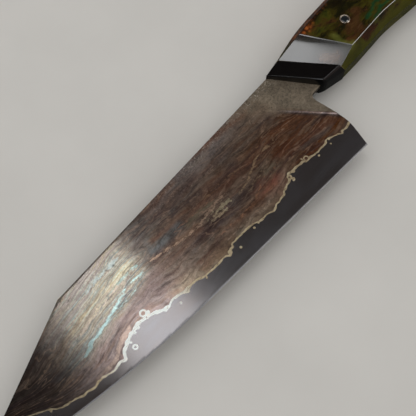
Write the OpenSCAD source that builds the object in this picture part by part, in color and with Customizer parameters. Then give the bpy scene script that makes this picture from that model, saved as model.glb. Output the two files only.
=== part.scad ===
// Chef's knife with a laminated, angled-tip blade, a black bolster and an
// eight-sided handle. X runs from the handle to the tip, Y from the spine to
// the cutting edge, Z is up. The knife lies on the right-hand flat of its
// handle. The origin is on that flat, on the axis of the handle pin.

/* [Blade profile] */
// Height of the blade from the spine to the heel corner
heel_h = 53.6; // [51:0.2:56]
// Length of the straight spine from the bolster to where the tip angles down
spine_len = 133.7; // [120:0.1:145]
// Length of the blade from the bolster to the tip
tip_reach = 204; // [196:0.5:212]
// Drop of the tip below the spine line
tip_drop = 24.6; // [22:0.2:27]
// Radius of the curved front part of the cutting edge
belly_r = 481; // [440:1:520]
// Distance from the bolster to where the straight part of the edge ends
flat_end = 97; // [85:1:105]
// Height of the narrow neck in front of the bolster
neck_h = 20.5; // [19:0.1:22]
// How far the heel line sits behind the bolster's spine corner
heel_back = 5.8; // [4.5:0.1:7]

/* [Blade section] */
// Thickness of the spine and of the ungrooved neck
spine_t = 2.6; // [2.2:0.1:3]
// Thickness of the hard core layer
core_t = 1.2; // [1:0.05:1.3]
// Thickness of the bright shim between the core and the cladding
shim_t = 0.08; // [0.06:0.01:0.12]
// Thinning of each side for each millimetre from the spine to the edge
main_slope = 0.0125; // [0.011:0.0005:0.014]
// Thinning of each side for each millimetre towards the tip
taper_slope = 0.0020; // [0.0015:0.0001:0.0025]
// Thinning of each side for each millimetre in the zone along the edge
low_slope = 0.046; // [0.042:0.001:0.05]
// Thinning of each side for each millimetre across the tip
tip_slope = 0.02; // [0.016:0.001:0.024]

/* [Tang] */
// Height of the tang where it leaves the neck
tang_h = 14; // [12:0.5:15]
// Height of the tang at its rear end
tang_end_h = 9; // [8:0.5:11]
// Distance from the pin to the rear end of the tang
tang_back = 42; // [30:1:60]

/* [Handle] */
// Thickness of the handle between its two flats
handle_t = 19.6; // [18:0.2:22]
// Height of the handle at the pin
handle_h = 29.8; // [28:0.1:31]
// Distance from the pin to the rear end of the handle
handle_back = 90; // [80:1:100]
// Height of the middle facets of the eight-sided section
side_face = 7; // [6:0.5:8]
// Angle of the bevels from the flats
bevel_a = 60; // [56:1:64]
// Angle of the bolster's faces from square across the handle
slant = 32; // [30:0.5:34]
// Length of the bolster along the handle
bolster_len = 9.3; // [8:0.1:11]
// Radius of the corner between the neck and the heel line
choil_r = 1.6; // [1:0.1:2.5]
// Thickness of the bolster 1 mm ahead of its front spine corner
bolster_t = 8.2; // [7.6:0.1:9]
// Angle at which the bolster thickens towards the handle
bolster_a = 4.84; // [4:0.1:5.5]

/* [Pin] */
// Outside diameter of the pin's tube
pin_d = 4.8; // [4:0.1:6]
// Wall thickness of the pin's tube
pin_wall = 0.55; // [0.4:0.05:0.7]

/* [Hidden] */
$fn = 96;
belly_fn = 720;                   // facets of the long belly curve
span = 600;                       // size of a cutting half-space
mid_z = handle_t/2;               // the blade's middle plane
front_x = 43.2;                   // front spine corner of the bolster
spine_y = -10.5;                  // spine line
joint_x = front_x - bolster_len;  // bolster and block meet here at the spine

// Half thicknesses, measured from the middle plane
plate_half = spine_t/2;
core_half = core_t/2;
shim_half = core_half + shim_t;   // outside of the shim
sharp_half = 0.02;                // sharp edge
low_half = 0.1;                   // what the grind alone would leave at the edge
cut_slope = 0.2;                  // slope of the cutting bevel

// Corners of the blade's side view
heel = [front_x - 2.3, spine_y + heel_h];
knee = [front_x + flat_end, heel.y - 8];     // the flat edge meets the belly
edge_a = atan((heel.y - knee.y)/(knee.x - heel.x));
belly_centre = knee - belly_r*[sin(edge_a), cos(edge_a)];
spine_end = [front_x + spine_len, spine_y];
tip = [front_x + tip_reach, spine_y + tip_drop];
heel_line_x = front_x - heel_back;
choil = [heel_line_x + 0.7, spine_y + neck_h];   // corner of neck and heel line

// Plunge line at the rear of the grind
plunge_x = front_x + 19.7;        // where it starts on the spine
plunge_a = 37.2;                  // its angle from square across the blade

// Slack round the tang
block_gap = 0.5;
bolster_gap = 0.15;

// ---------- cutting helpers ----------

// Everything above the plane through a point that rises by slope.x for each
// millimetre along X and by slope.y for each millimetre along Y.
module above_plane(point, slope)
    translate([0, 0, point.z - slope.x*point.x - slope.y*point.y])
        rotate([0, acos(1/sqrt(1 + slope*slope)), atan2(-slope.y, -slope.x)])
            translate([-span, -span, 0]) cube([2*span, 2*span, span]);

// The same solid on both sides of the middle plane, modelled from Z = 0.
module both_sides()
    translate([0, 0, mid_z]) {
        children();
        mirror([0, 0, 1]) children();
    }

// Half space behind a slanted plane that crosses the spine line at spine_x.
module behind_slant(spine_x)
    translate([spine_x, spine_y, -span/2]) rotate([0, 0, slant])
        translate([-span, -span, 0]) cube([span, 2*span, span]);

module pin_hole()
    translate([0, 0, -1]) cylinder(d = pin_d, h = handle_t + 2);

// ---------- blade ----------

// Side view of the blade without its tang: straight spine, angled tip,
// curved belly, straight heel and a small round in the corner of the heel.
module outline() {
    seam_x = knee.x - 0.001;      // small overlap of the front and rear parts
    low_y = knee.y + 5;           // clear of the belly
    polygon([[front_x, spine_y], [knee.x, spine_y], knee, heel,
             [heel_line_x - 0.3, heel.y - 12.2],
             choil, [front_x - tan(slant)*neck_h, choil.y]]);
    intersection() {
        polygon([[seam_x, spine_y], spine_end, tip, [tip.x, low_y], [seam_x, low_y]]);
        translate(belly_centre) circle(r = belly_r, $fn = belly_fn);
    }
    difference() {
        translate([choil.x - choil_r, choil.y - 0.1])
            square([choil_r + 0.05, choil_r + 0.1]);
        translate([choil.x - choil_r, choil.y + choil_r]) circle(r = choil_r, $fn = 48);
    }
}

// Side view of the tang, which narrows towards its rear end, grown by `grow`
// above, below and to the rear.
module tang_shape(grow = 0) {
    front = front_x + 1;
    bend = 12;                    // the taper changes here
    rear = -tang_back - grow;
    front_half = tang_h/2 + grow;
    bend_half = tang_h/2 - 0.6 + grow;
    rear_half = tang_end_h/2 + grow;
    polygon([[front, -front_half], [front, front_half], [bend, bend_half],
             [rear, rear_half], [rear, -rear_half], [bend, -bend_half]]);
}

// Zone in front of the knee, along the belly, or behind it, along the flat edge.
module edge_zone(belly)
    translate([knee.x, knee.y, -5]) rotate([0, 0, -edge_a])
        translate([belly ? 0 : -span, -span, 0]) cube([span, 2*span, 10]);

// Material to take off one side so that the half thickness is edge_half at
// the edge and grows by slope for each millimetre from it.
module edge_cut(edge_half, slope) {
    intersection() {
        edge_zone(belly = false);
        translate([knee.x, knee.y, edge_half]) rotate([0, 0, -edge_a])
            rotate([-atan(slope), 0, 0])
                translate([-span, -span, 0]) cube([2*span, 2*span, span]);
    }
    intersection() {
        edge_zone(belly = true);
        translate([belly_centre.x, belly_centre.y, 0]) difference() {
            cylinder(r = belly_r + 40, h = 5, $fn = belly_fn);
            // cone with the belly's radius at edge_half, narrowing upwards
            translate([0, 0, edge_half - 1])
                cylinder(r1 = belly_r + 1/slope, r2 = belly_r - 6/slope, h = 7,
                         $fn = belly_fn);
            // the cut stays within 30 mm of the edge
            translate([0, 0, -1]) cylinder(r = belly_r - 30, h = 8, $fn = belly_fn);
        }
    }
}

// Material that the full grind takes off one side.
module grind_side() {
    // main bevel with its taper towards the tip
    above_plane([front_x + 10, spine_y, plate_half], [-taper_slope, -main_slope]);
    edge_cut(low_half, low_slope);
    // thinning across the tip, forward and towards the edge
    above_plane([front_x + 168, spine_y + 28, core_half], tip_slope*[-0.6, -0.8]);
}

// Everything in front of the plunge, a 45 degree face from the neck's flat
// down to the grind.
module plunge_zone()
    translate([plunge_x, spine_y, plate_half])
        rotate([0, 0, plunge_a]) rotate([0, -45, 0])
            translate([0, -span, -span]) cube([span, 2*span, 2*span]);

// The whole laminated billet: plate, grinds, cutting bevel and tang.
module billet() {
    difference() {
        translate([0, 0, mid_z - plate_half]) linear_extrude(spine_t) outline();
        both_sides() intersection() {
            grind_side();
            plunge_zone();
        }
        both_sides() edge_cut(sharp_half, cut_slope);
    }
    difference() {
        translate([0, 0, mid_z - plate_half]) linear_extrude(spine_t)
            intersection() {
                tang_shape();
                // slanted front end, inside the neck
                translate([front_x + 3, spine_y]) rotate(slant)
                    translate([-span, -span]) square([span, 2*span]);
            }
        pin_hole();
    }
}

// A slab of the billet between two heights above the middle plane.
module layer(low, high)
    intersection() {
        billet();
        translate([-span/2, -span/2, mid_z + low]) cube([span, span, high - low]);
    }

shim_color = [0.90, 0.82, 0.62];
cladding_color = [0.50, 0.41, 0.37];

module blade_core() color([0.42, 0.39, 0.38]) layer(-core_half, core_half);
module shim_left() color(shim_color) layer(core_half, shim_half);
module shim_right() color(shim_color) layer(-shim_half, -core_half);
module cladding_left() color(cladding_color) layer(shim_half, plate_half);
module cladding_right() color(cladding_color) layer(-plate_half, -shim_half);

// ---------- bolster and handle ----------

// Stations, front to rear: X, Y of the spine side, Y of the belly side.
bolster_stations = [[45, -10.28, 8.05], [8, -15.3, 16.92]];
h_scale = handle_h/29.8;          // the handle table is for a height of 29.8
handle_stations = [
    [40, -10.64, 12.6],
    [18, -14.6*h_scale, 14.2*h_scale],
    [8, -15.2*h_scale, 14.7*h_scale],
    [-10, -15.4*h_scale, 14.2*h_scale],
    [-34, -15.95*h_scale, 16.7*h_scale],
    [-62, -16.1*h_scale, 18.2*h_scale],
    [-handle_back, -14.8*h_scale, 17.6*h_scale]];
waist = 3;                        // index of the waist's station
last = len(handle_stations) - 1;

// The four bevels of one stretch of handle, between two stations. Every bevel
// has the same width at every station, so the bevels of two stretches meet.
module bevels(rear, front) {
    rise = tan(bevel_a);
    length = front[0] - rear[0];
    spine_slope = (front[1] - rear[1])/length;
    belly_slope = (front[2] - rear[2])/length;
    both_sides() intersection() {
        union() {
            above_plane([rear[0], rear[2], side_face/2], rise*[belly_slope, -1]);
            above_plane([rear[0], rear[1], side_face/2], rise*[-spine_slope, 1]);
        }
        translate([rear[0] - 3, -40, 0]) cube([length + 6, 80, 30]);
    }
}

// A convex run of handle through a list of stations. The last `spare`
// stretches add no new bevels.
module handle_run(stations, spare = 0)
    difference() {
        linear_extrude(handle_t)
            polygon(concat(
                [for (s = stations) [s[0], s[1]]],
                [for (i = [len(stations) - 1:-1:0]) [stations[i][0], stations[i][2]]]));
        for (i = [0:len(stations) - 2 - spare]) bevels(stations[i + 1], stations[i]);
    }

// The station a distance behind `to`, on the line from `from` through `to`.
function beyond(from, to, distance) = to + (to - from)*distance/(from[0] - to[0]);

// Half space that chamfers the edge between the bolster's front and its flat.
module front_chamfer() {
    depth = 0.4;
    corner = [front_x, spine_y, bolster_t/2 + tan(bolster_a)];
    // midway between the directions square to the front and to the flat
    normal = [cos(slant) + sin(bolster_a), sin(slant), cos(bolster_a)];
    above_plane(corner - depth*normal/norm(normal), -[normal.x, normal.y]/normal.z);
}

// Bolster: a slanted black block that is thinner at the front, bevelled like
// the handle, with small chamfers along its front edges.
module bolster() color([0.03, 0.03, 0.03]) difference() {
    intersection() {
        handle_run(bolster_stations);
        behind_slant(front_x);
    }
    behind_slant(joint_x);
    both_sides() above_plane([front_x + 1, 0, bolster_t/2], [-tan(bolster_a), 0]);
    both_sides() front_chamfer();
    tang_slot(bolster_gap);
}

// Pocket round the tang. The slack is filled by the epoxy bed.
module tang_slot(gap)
    translate([0, 0, mid_z - plate_half - gap])
        linear_extrude(spine_t + 2*gap) tang_shape(gap);

// Cuts that chamfer the rear end along both flats, the spine and the belly.
module rear_chamfers() {
    angle = 40;
    flat_inset = 2.5;
    side_inset = 3;
    both_sides() translate([-handle_back, 0, handle_t/2 - flat_inset])
        rotate([0, -angle, 0])
            translate([-span, -span, 0]) cube([span, 2*span, span]);
    // the spine side is column 1 and faces -Y, the belly side is column 2
    for (side = [[1, -1], [2, 1]])
        translate([-handle_back, handle_stations[last][side[0]] - side[1]*side_inset, -1])
            rotate([0, 0, side[1]*angle])
                translate([-span, side[1] > 0 ? 0 : -span, 0])
                    cube([span, span, handle_t + 2]);
}

// Handle block: eight-sided, waisted behind the pin and flared to the rear,
// with one flat ramp on each side down to the thinner bolster.
module handle_block() color([0.33, 0.30, 0.10]) difference() {
    intersection() {
        union() {
            // front run to the waist, carried on inside the rear run
            handle_run(concat(
                [for (i = [0:waist]) handle_stations[i]],
                [beyond(handle_stations[waist - 1], handle_stations[waist], 6)]),
                spare = 1);
            // rear run, flared towards the butt
            handle_run([for (i = [waist:last]) handle_stations[i]]);
        }
        behind_slant(joint_x);
    }
    // front ramps, given by their height over the pin and their slope
    both_sides() above_plane([0, 0, 14.433], [-0.3272, -0.1522]);
    rear_chamfers();
    tang_slot(block_gap);
    pin_hole();
}

// Epoxy bed that fills the pockets round the tang.
module tang_epoxy() color([0.55, 0.48, 0.30]) difference() {
    union() {
        intersection() {
            tang_slot(block_gap);
            behind_slant(joint_x);
        }
        difference() {
            intersection() {
                tang_slot(bolster_gap);
                behind_slant(front_x);
            }
            behind_slant(joint_x);
        }
    }
    tang_slot(0);
    pin_hole();
}

// ---------- pin ----------

pin_bore = pin_d - 2*pin_wall;

module pin_tube() color([0.72, 0.66, 0.56]) difference() {
    cylinder(d = pin_d, h = handle_t);
    translate([0, 0, -1]) cylinder(d = pin_bore, h = handle_t + 2);
}

module pin_core() color([0.05, 0.06, 0.07]) cylinder(d = pin_bore, h = handle_t);

blade_core();
shim_left();
shim_right();
cladding_left();
cladding_right();
bolster();
handle_block();
tang_epoxy();
pin_tube();
pin_core();
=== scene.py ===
"""A laminated kitchen knife with an eight-sided handle, lying on its side on a pale floor.

The handle pin stands on the z axis. The tip points to +X and the handle's rear end to -X, the
cutting edge faces +Y and the spine -Y, and the blade's left face looks up (+Z).
"""

import math

import bmesh
import bpy
import numpy as np
from mathutils import Matrix, Vector
from mathutils.geometry import delaunay_2d_cdt


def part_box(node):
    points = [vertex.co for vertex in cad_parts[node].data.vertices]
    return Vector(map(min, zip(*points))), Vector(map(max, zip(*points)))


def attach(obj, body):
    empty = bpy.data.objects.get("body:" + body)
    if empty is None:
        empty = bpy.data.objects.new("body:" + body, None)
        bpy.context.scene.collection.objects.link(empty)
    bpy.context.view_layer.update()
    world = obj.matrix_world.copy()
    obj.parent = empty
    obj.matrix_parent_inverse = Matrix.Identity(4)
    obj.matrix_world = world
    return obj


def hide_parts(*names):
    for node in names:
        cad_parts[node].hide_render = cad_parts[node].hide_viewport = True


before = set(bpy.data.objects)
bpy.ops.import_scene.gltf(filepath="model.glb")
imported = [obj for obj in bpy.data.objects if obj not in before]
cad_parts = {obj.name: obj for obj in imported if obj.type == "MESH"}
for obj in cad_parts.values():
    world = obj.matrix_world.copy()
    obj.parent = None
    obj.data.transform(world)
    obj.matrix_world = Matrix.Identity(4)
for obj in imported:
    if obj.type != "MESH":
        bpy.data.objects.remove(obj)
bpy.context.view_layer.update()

# All building is done in millimetres of the CAD frame and scaled once.
MM = 0.001


def box_mm(node):
    """Low and high corner of a CAD node."""
    return [np.array(corner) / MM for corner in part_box(node)]


core_low, core_high = box_mm("blade_core")
tube_low, tube_high = box_mm("pin_tube")
fill_low, fill_high = box_mm("pin_core")

MID_Z = (core_low[2] + core_high[2]) / 2    # the blade's middle plane
SPINE_Y = core_low[1]
HALF_PLATE = box_mm("cladding_left")[1][2] - MID_Z
HALF_CORE = (core_high[2] - core_low[2]) / 2
SHIM = 0.08
FRONT_X = box_mm("bolster")[1][0]           # bolster's front corner at the spine
SLANT = math.radians(32)                    # of the bolster's front and back faces
SLANT_TAN = math.tan(SLANT)
TIP = np.array([core_high[0], SPINE_Y + 24.6])
BREAK = np.array([FRONT_X + 133.7, SPINE_Y])    # where the spine turns down to the tip
HEEL = np.array([FRONT_X - 2.3, core_high[1]])
KNEE = np.array([FRONT_X + 97.0, core_high[1] - 8.0])   # where the straight edge turns into the belly
BELLY_R = 481.0
EDGE_ANGLE = math.atan((HEEL[1] - KNEE[1]) / (KNEE[0] - HEEL[0]))
EDGE_IN = np.array([math.sin(EDGE_ANGLE), math.cos(EDGE_ANGLE)])    # square to the straight edge
BELLY_CENTRE = KNEE - BELLY_R * EDGE_IN
BACK_X = FRONT_X - 5.8                      # back of the heel
CHOIL = np.array([BACK_X + 0.7, SPINE_Y + 20.5])    # inner corner between the heel and the neck
NECK_Y = CHOIL[1]
JOINT_X = FRONT_X - 9.3                     # joint of the bolster and the block, at the spine
PIN_R = (tube_high[0] - tube_low[0]) / 2
TANG = np.array([[-42, 4.5], [12, 6.4], [FRONT_X + 1, 7.0]])    # x, half height
PLUNGE_ANGLE = math.radians(37.2)
PLUNGE_START = np.array([FRONT_X + 19.7, SPINE_Y])
PLUNGE_OUT = np.array([math.cos(PLUNGE_ANGLE), math.sin(PLUNGE_ANGLE)])     # square to the plunge line
HONED = 0.53                                # width of the honed edge bevel


# ---------------------------------------------------------------- helpers

def srgb(rgb):
    """0-255 sRGB colours as linear light."""
    v = np.array(rgb, float) / 255
    return np.where(v <= 0.04045, v / 12.92, ((v + 0.055) / 1.055) ** 2.4)


def rise(low, high, x):
    """Smooth step from 0 at low to 1 at high."""
    t = np.clip((np.asarray(x, float) - low) / (high - low), 0, 1)
    return t * t * (3 - 2 * t)


def fall(low, high, x):
    return 1 - rise(low, high, x)


def soft_min(a, b, width):
    """The smaller of a and b with a rounded corner."""
    h = np.maximum(width - np.abs(a - b), 0) / width
    return np.minimum(a, b) - h * h * width / 4


def nearest(points, path):
    """Distance from each point to an open polyline, and the place along it."""
    points, path = np.asarray(points, float), np.asarray(path, float)
    best = np.full(len(points), 1e9)
    place = np.zeros(len(points))
    for i, (start, end) in enumerate(zip(path, path[1:])):
        d = end - start
        t = np.clip(((points - start) @ d) / max(d @ d, 1e-12), 0, 1)
        gap = np.hypot(*(points - start - t[:, None] * d).T)
        closer = gap < best
        best[closer] = gap[closer]
        place[closer] = i + t[closer]
    return best, place


def distance(points, path):
    return nearest(points, path)[0]


def catmull(path, step):
    """A smooth curve through the points of an open path."""
    p = np.asarray(path, float)
    p = np.vstack([2 * p[0] - p[1], p, 2 * p[-1] - p[-2]])
    curve = []
    for i in range(1, len(p) - 2):
        before, start, end, after = p[i - 1:i + 3]
        count = max(1, int(round(np.hypot(*(end - start)[:2]) / step)))
        for j in range(count):
            t = j / count
            curve.append(0.5 * (2 * start + (end - before) * t
                                + (2 * before - 5 * start + 4 * end - after) * t * t
                                + (3 * start - before - 3 * end + after) * t ** 3))
    curve.append(p[-2])
    return np.array(curve)


class Noise:
    """Smooth repeatable value noise on the plane, from -1 to 1."""

    def __init__(self, seed):
        self.table = np.random.default_rng(seed).random((256, 256))

    def layer(self, x, y):
        i, j = np.floor(x).astype(int), np.floor(y).astype(int)
        u, v = x - i, y - j
        u, v = u * u * (3 - 2 * u), v * v * (3 - 2 * v)
        i2, j, j2 = (i + 1) % 256, j % 256, (j + 1) % 256
        i = i % 256
        low = self.table[i, j] * (1 - u) + self.table[i2, j] * u
        high = self.table[i, j2] * (1 - u) + self.table[i2, j2] * u
        return low * (1 - v) + high * v

    def __call__(self, x, y, octaves=1):
        x, y = np.asarray(x, float), np.asarray(y, float)
        total, amount, norm = 0.0, 1.0, 0.0
        for _ in range(octaves):
            total = total + amount * self.layer(x, y)
            norm += amount
            amount *= 0.5
            x, y = x * 2.03 + 17.1, y * 2.03 + 5.7
        return total / norm * 2 - 1


def link(name, data):
    ob = bpy.data.objects.new(name, data)
    bpy.context.scene.collection.objects.link(ob)
    return ob


def new_mesh(name, verts, faces, materials=()):
    mesh = bpy.data.meshes.new(name)
    mesh.from_pydata([tuple(v) for v in verts], [], faces)
    for material in materials:
        mesh.materials.append(material)
    return mesh


def shade(mesh, sharp_angle):
    for face in mesh.polygons:
        face.use_smooth = True
    mesh.set_sharp_from_angle(angle=math.radians(sharp_angle))


def add_attribute(mesh, name, values):
    """A point attribute with one, three or four numbers for each vertex."""
    values = np.asarray(values, np.float32)
    kind, field = {1: ("FLOAT", "value"), 3: ("FLOAT_VECTOR", "vector"),
                   4: ("FLOAT_COLOR", "color")}[values.size // len(values)]
    mesh.attributes.new(name, kind, "POINT").data.foreach_set(field, values.ravel())


def add_mesh(name, verts, faces, materials, smooth, face_materials=None, attributes=None):
    """A piece from vertices in millimetres."""
    mesh = new_mesh(name, np.asarray(verts, float) * MM, faces, materials)
    if face_materials is not None:
        mesh.polygons.foreach_set("material_index", np.asarray(face_materials, np.int32))
    for key, values in (attributes or {}).items():
        add_attribute(mesh, key, values)
    mesh.update()
    shade(mesh, smooth)
    return link(name, mesh)


def turn_outwards(ob, weld=False):
    """Makes all face normals of a closed mesh point out."""
    bm = bmesh.new()
    bm.from_mesh(ob.data)
    if weld:
        bmesh.ops.remove_doubles(bm, verts=bm.verts, dist=1e-8)
    bmesh.ops.recalc_face_normals(bm, faces=bm.faces)
    bm.to_mesh(ob.data)
    bm.free()


def stand_in(ob, node, slot):
    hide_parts(node)


# ---------------------------------------------------------------- blade: side view

def edge_distance(p):
    """Distance inwards from the cutting edge."""
    q = p - KNEE
    along = q @ np.array([math.cos(EDGE_ANGLE), -math.sin(EDGE_ANGLE)])
    return np.where(along < 0, -(q @ EDGE_IN), BELLY_R - np.hypot(*(p - BELLY_CENTRE).T))


def line(start, end, step=1.1):
    """Evenly spaced points from start, without the end."""
    start, end = np.array(start, float), np.array(end, float)
    count = max(1, int(round(np.hypot(*(end - start)) / step)))
    return [start + (end - start) * i / count for i in range(count)]


def tang_half(x):
    return np.interp(x, *TANG.T)


def slanted(y):
    """x of the bolster's slanted front face."""
    return FRONT_X - (y - SPINE_Y) * SLANT_TAN


def pin_circle(count):
    return np.array([[PIN_R * math.cos(t), PIN_R * math.sin(t)]
                     for t in np.linspace(0, 2 * math.pi, count, endpoint=False)])


spine = line([FRONT_X, SPINE_Y], BREAK) + line(BREAK, TIP, 0.9)
tip_angle, knee_angle = (math.atan2(*(end - BELLY_CENTRE)[::-1]) for end in (TIP, KNEE))
belly_count = int(BELLY_R * abs(knee_angle - tip_angle) / 1.1)
belly_angles = [tip_angle + (knee_angle - tip_angle) * i / belly_count for i in range(belly_count)]
belly = [BELLY_CENTRE + BELLY_R * np.array([math.cos(a), math.sin(a)]) for a in belly_angles]
flat = line(KNEE, HEEL)
choil = [CHOIL + np.array(offset)
         for offset in ((-0.25, 3.2), (-0.42, 1.9), (-0.85, 0.9), (-1.6, 0.25), (-2.7, 0.0))]
heel = list(catmull([HEEL, [BACK_X - 0.3, HEEL[1] - 12.2], [BACK_X - 0.25, 22.0], choil[0]],
                    0.8)[:-1])
neck = line([CHOIL[0] - 3.6, NECK_Y], [slanted(NECK_Y), NECK_Y], 0.8)

# from the neck round the tang and back to the spine
belly_side_x, spine_side_x = slanted(6.95), slanted(-6.98)
back_corners = [(slanted(NECK_Y), NECK_Y), (belly_side_x, tang_half(belly_side_x)),
                TANG[1], TANG[0], TANG[0] * (1, -1), TANG[1] * (1, -1),
                (spine_side_x, -tang_half(spine_side_x)), (FRONT_X, SPINE_Y)]
back_steps = (1.1, 2, 3, 2, 3, 2, 1.1)
back = [point for start, end, step in zip(back_corners, back_corners[1:], back_steps)
        for point in line(start, end, step)]

outline = np.array(spine + belly + flat + heel + choil + neck + back)
bore = pin_circle(48)
edge_curve = np.array(belly + flat + [HEEL])
# the parts of the outline whose corners are eased
spine_curve = np.array(spine + [TIP - 0.02])
heel_curve = np.array([HEEL] + heel + choil + neck)


def inside(points, polygon):
    x, y = points.T
    px, py = polygon.T
    within = np.zeros(len(points), bool)
    for i in range(len(polygon)):
        j = i - 1
        crosses = (py[i] > y) != (py[j] > y)
        with np.errstate(divide="ignore", invalid="ignore"):
            cross_x = (px[j] - px[i]) * (y - py[i]) / (py[j] - py[i]) + px[i]
        within ^= crosses & (x < cross_x)
    return within


# ---------------------------------------------------------------- blade: thickness

def plunge_distance(p):
    """Distance in front of the slanted plunge line."""
    return (p - PLUNGE_START) @ PLUNGE_OUT


def eased_distance(p):
    """Distance to the nearest eased corner."""
    return np.minimum(distance(p, spine_curve[::4]), distance(p, heel_curve))


def half_thickness(p):
    """Half thickness of the ground blade at each point of its side view."""
    x, y = p.T
    edge = edge_distance(p)
    # three planes: the flat of the blade, the wedge at the edge and the thinning at the tip
    face = HALF_PLATE - 0.0125 * (y - SPINE_Y) - 0.0020 * (x - FRONT_X - 10)
    wedge = 0.1 + 0.046 * edge
    tip = HALF_CORE + 0.02 * (0.6 * (FRONT_X + 168 - x) + 0.8 * (SPINE_Y + 28 - y))
    ground = soft_min(soft_min(face, wedge, 0.05), tip, 0.06)
    wall = rise(-0.12, 1.45, plunge_distance(p))
    half = HALF_PLATE * (1 - wall) + np.minimum(ground, HALF_PLATE) * wall
    # the honed bevel, kept off the tang
    half = np.minimum(half, 0.02 + 0.2 * np.maximum(edge, 0) + (x < 30) * 9)
    radius = np.minimum(0.30, 0.35 * half)
    q = np.clip(radius - eased_distance(p), 0, None)
    return half - np.where(q > 0, radius - np.sqrt(np.maximum(radius * radius - q * q, 0)), 0)


# ---------------------------------------------------------------- wavy shim line

# x, y along the middle of the strip on the left face
STRIP_LEFT = [
    (35, 30.4), (37.3, 30.7), (39.6, 31.3), (41.7, 31), (43.2, 30.9), (43.6, 31.5), (45.7, 30.3),
    (48.3, 29.1), (50.1, 28.4), (51.6, 28.4), (52.2, 29), (54.9, 28.9), (57.7, 28.9), (60, 28.6),
    (61.8, 28), (63.1, 28.1), (65, 27.7), (65.9, 26.7), (67.2, 26.8), (69.4, 26.4), (71.2, 26.2),
    (72.7, 25.9), (74.4, 25.6), (75.2, 26.2), (75.6, 27.6), (77.7, 28.1), (79.9, 28.5),
    (82.2, 29.2), (83.2, 30.1), (85, 30.1), (87, 30.4), (88.7, 30.4), (90.3, 31.2), (91.9, 31.3),
    (94.6, 30.2), (98, 30), (100.1, 29.2), (102.2, 28.4), (105.4, 27.9), (107.9, 27.6),
    (111, 27.4), (113.4, 27.3), (114.5, 27.1), (115.3, 28.3), (117, 28.3), (118.2, 29.4),
    (119, 29.8), (120.2, 28.7), (122.2, 28.5), (124.5, 28.5), (126.9, 28.3), (128.7, 28.2),
    (130.4, 27.8), (132.5, 27.4), (134.6, 26.5), (137.2, 26), (139, 25.9), (141.2, 25.7),
    (142.4, 25.8), (143.6, 25.1), (146.4, 24.3), (148.7, 24.2), (150.8, 24.8), (152.6, 24.3),
    (155, 23.2), (157.5, 21.7), (160.4, 20.9), (162.5, 20.3), (164.6, 20.1), (166.2, 20.6),
    (168.3, 20.6), (170, 21.1), (172, 21.8), (173.6, 22.5), (175.6, 23.4), (176.9, 25),
    (177.9, 25.8), (179.6, 24.9), (181.3, 25), (183.5, 25.3), (186, 24.5), (188.6, 23.8),
    (190.8, 23.7), (192.9, 24), (194.6, 23.5), (196, 22.8), (198.2, 22.7), (200.4, 21.6),
    (202.2, 20.9), (205, 20.2), (207.7, 18.7), (209.8, 16.6), (211.9, 15.3), (214.4, 13.6),
    (217.6, 11.9), (221, 10.6), (224.4, 9.4), (227.5, 8.2), (231, 7), (236, 5.6)]
# x, y of the smooth run that the right face's waves lie on
STRIP_RIGHT = [(35, 30.6), (60, 28.6), (90, 29.4), (120, 28.2), (150, 24.6), (172, 21.8),
               (190, 23.6), (205, 20.2), (220, 11.4), (237, 5.4)]
# x, half width of the strip
STRIP_HALF = [(35, .50), (45, .36), (62, .34), (76, .46), (95, .34), (115, .34), (130, .34),
              (139, .40), (141.5, .78), (144, .46), (152, .58), (157, .80), (162, .95), (170, .80),
              (176, .62), (182, .43), (195, .36), (212, .33), (222, .29), (240, .24)]


def strip_right():
    """The other face has its own waves at the same depth of the laminate."""
    waves = Noise(21)
    xs = np.arange(35.0, 238.0, 2.1)
    y = np.interp(xs, *np.array(STRIP_RIGHT).T) + 1.3 * waves(xs / 11, 0) + 0.8 * waves(xs / 4.1, 9)
    return list(zip(xs, y))


class Strip:
    """The strip of bright shim that the grind lays bare on one face.

    blobs are (x, y, x radius, y radius, tilt), rings (x, y, radius, half width), holes (x, y, radius).
    """

    def __init__(self, path, seed, blobs, rings, holes):
        self.path = catmull(path, 0.45)
        noise = Noise(seed)
        x, y = self.path.T
        s = np.concatenate([[0], np.cumsum(np.hypot(np.diff(x), np.diff(y)))])
        wobble = np.stack([noise(s / 1.3, 3), noise(s / 1.1, 40)], 1)
        self.path = self.path + 0.16 * wobble * rise(0, 3, s)[:, None]
        half = np.interp(x, *np.array(STRIP_HALF).T)
        half = half * (1 + 0.34 * noise(s / 1.7, 77) + 0.2 * noise(s / 0.7, 55))
        self.half = np.maximum(half * 1.02, 0.21)
        self.blobs, self.rings, self.holes = blobs, rings, holes
        # where the line lies, as one height for each x
        order = np.argsort(x)
        self.line_x = np.arange(30, 240, 0.5)
        self.line_y = np.interp(self.line_x, x[order], y[order])

    def height(self, x):
        return np.interp(x, self.line_x, self.line_y)

    def field(self, p):
        """Below zero inside the strip, in millimetres."""
        gap, place = nearest(p, self.path)
        field = gap - np.interp(place, np.arange(len(self.half)), self.half)
        for x, y, rx, ry, tilt in self.blobs:
            c, s = math.cos(tilt), math.sin(tilt)
            q = p - np.array([x, y])
            u, v = q @ np.array([c, s]), q @ np.array([-s, c])
            reach = np.sqrt((u / rx) ** 2 + (v / ry) ** 2)
            field = soft_min(field, (reach - 1) * min(rx, ry), 0.25)
        for x, y, r, half in self.rings:
            ring = np.abs(np.hypot(p[:, 0] - x, p[:, 1] - y) - r) - half
            field = soft_min(field, ring, 0.15)
        for x, y, r in self.holes:
            field = np.maximum(field, r - np.hypot(p[:, 0] - x, p[:, 1] - y))
        return field


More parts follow.
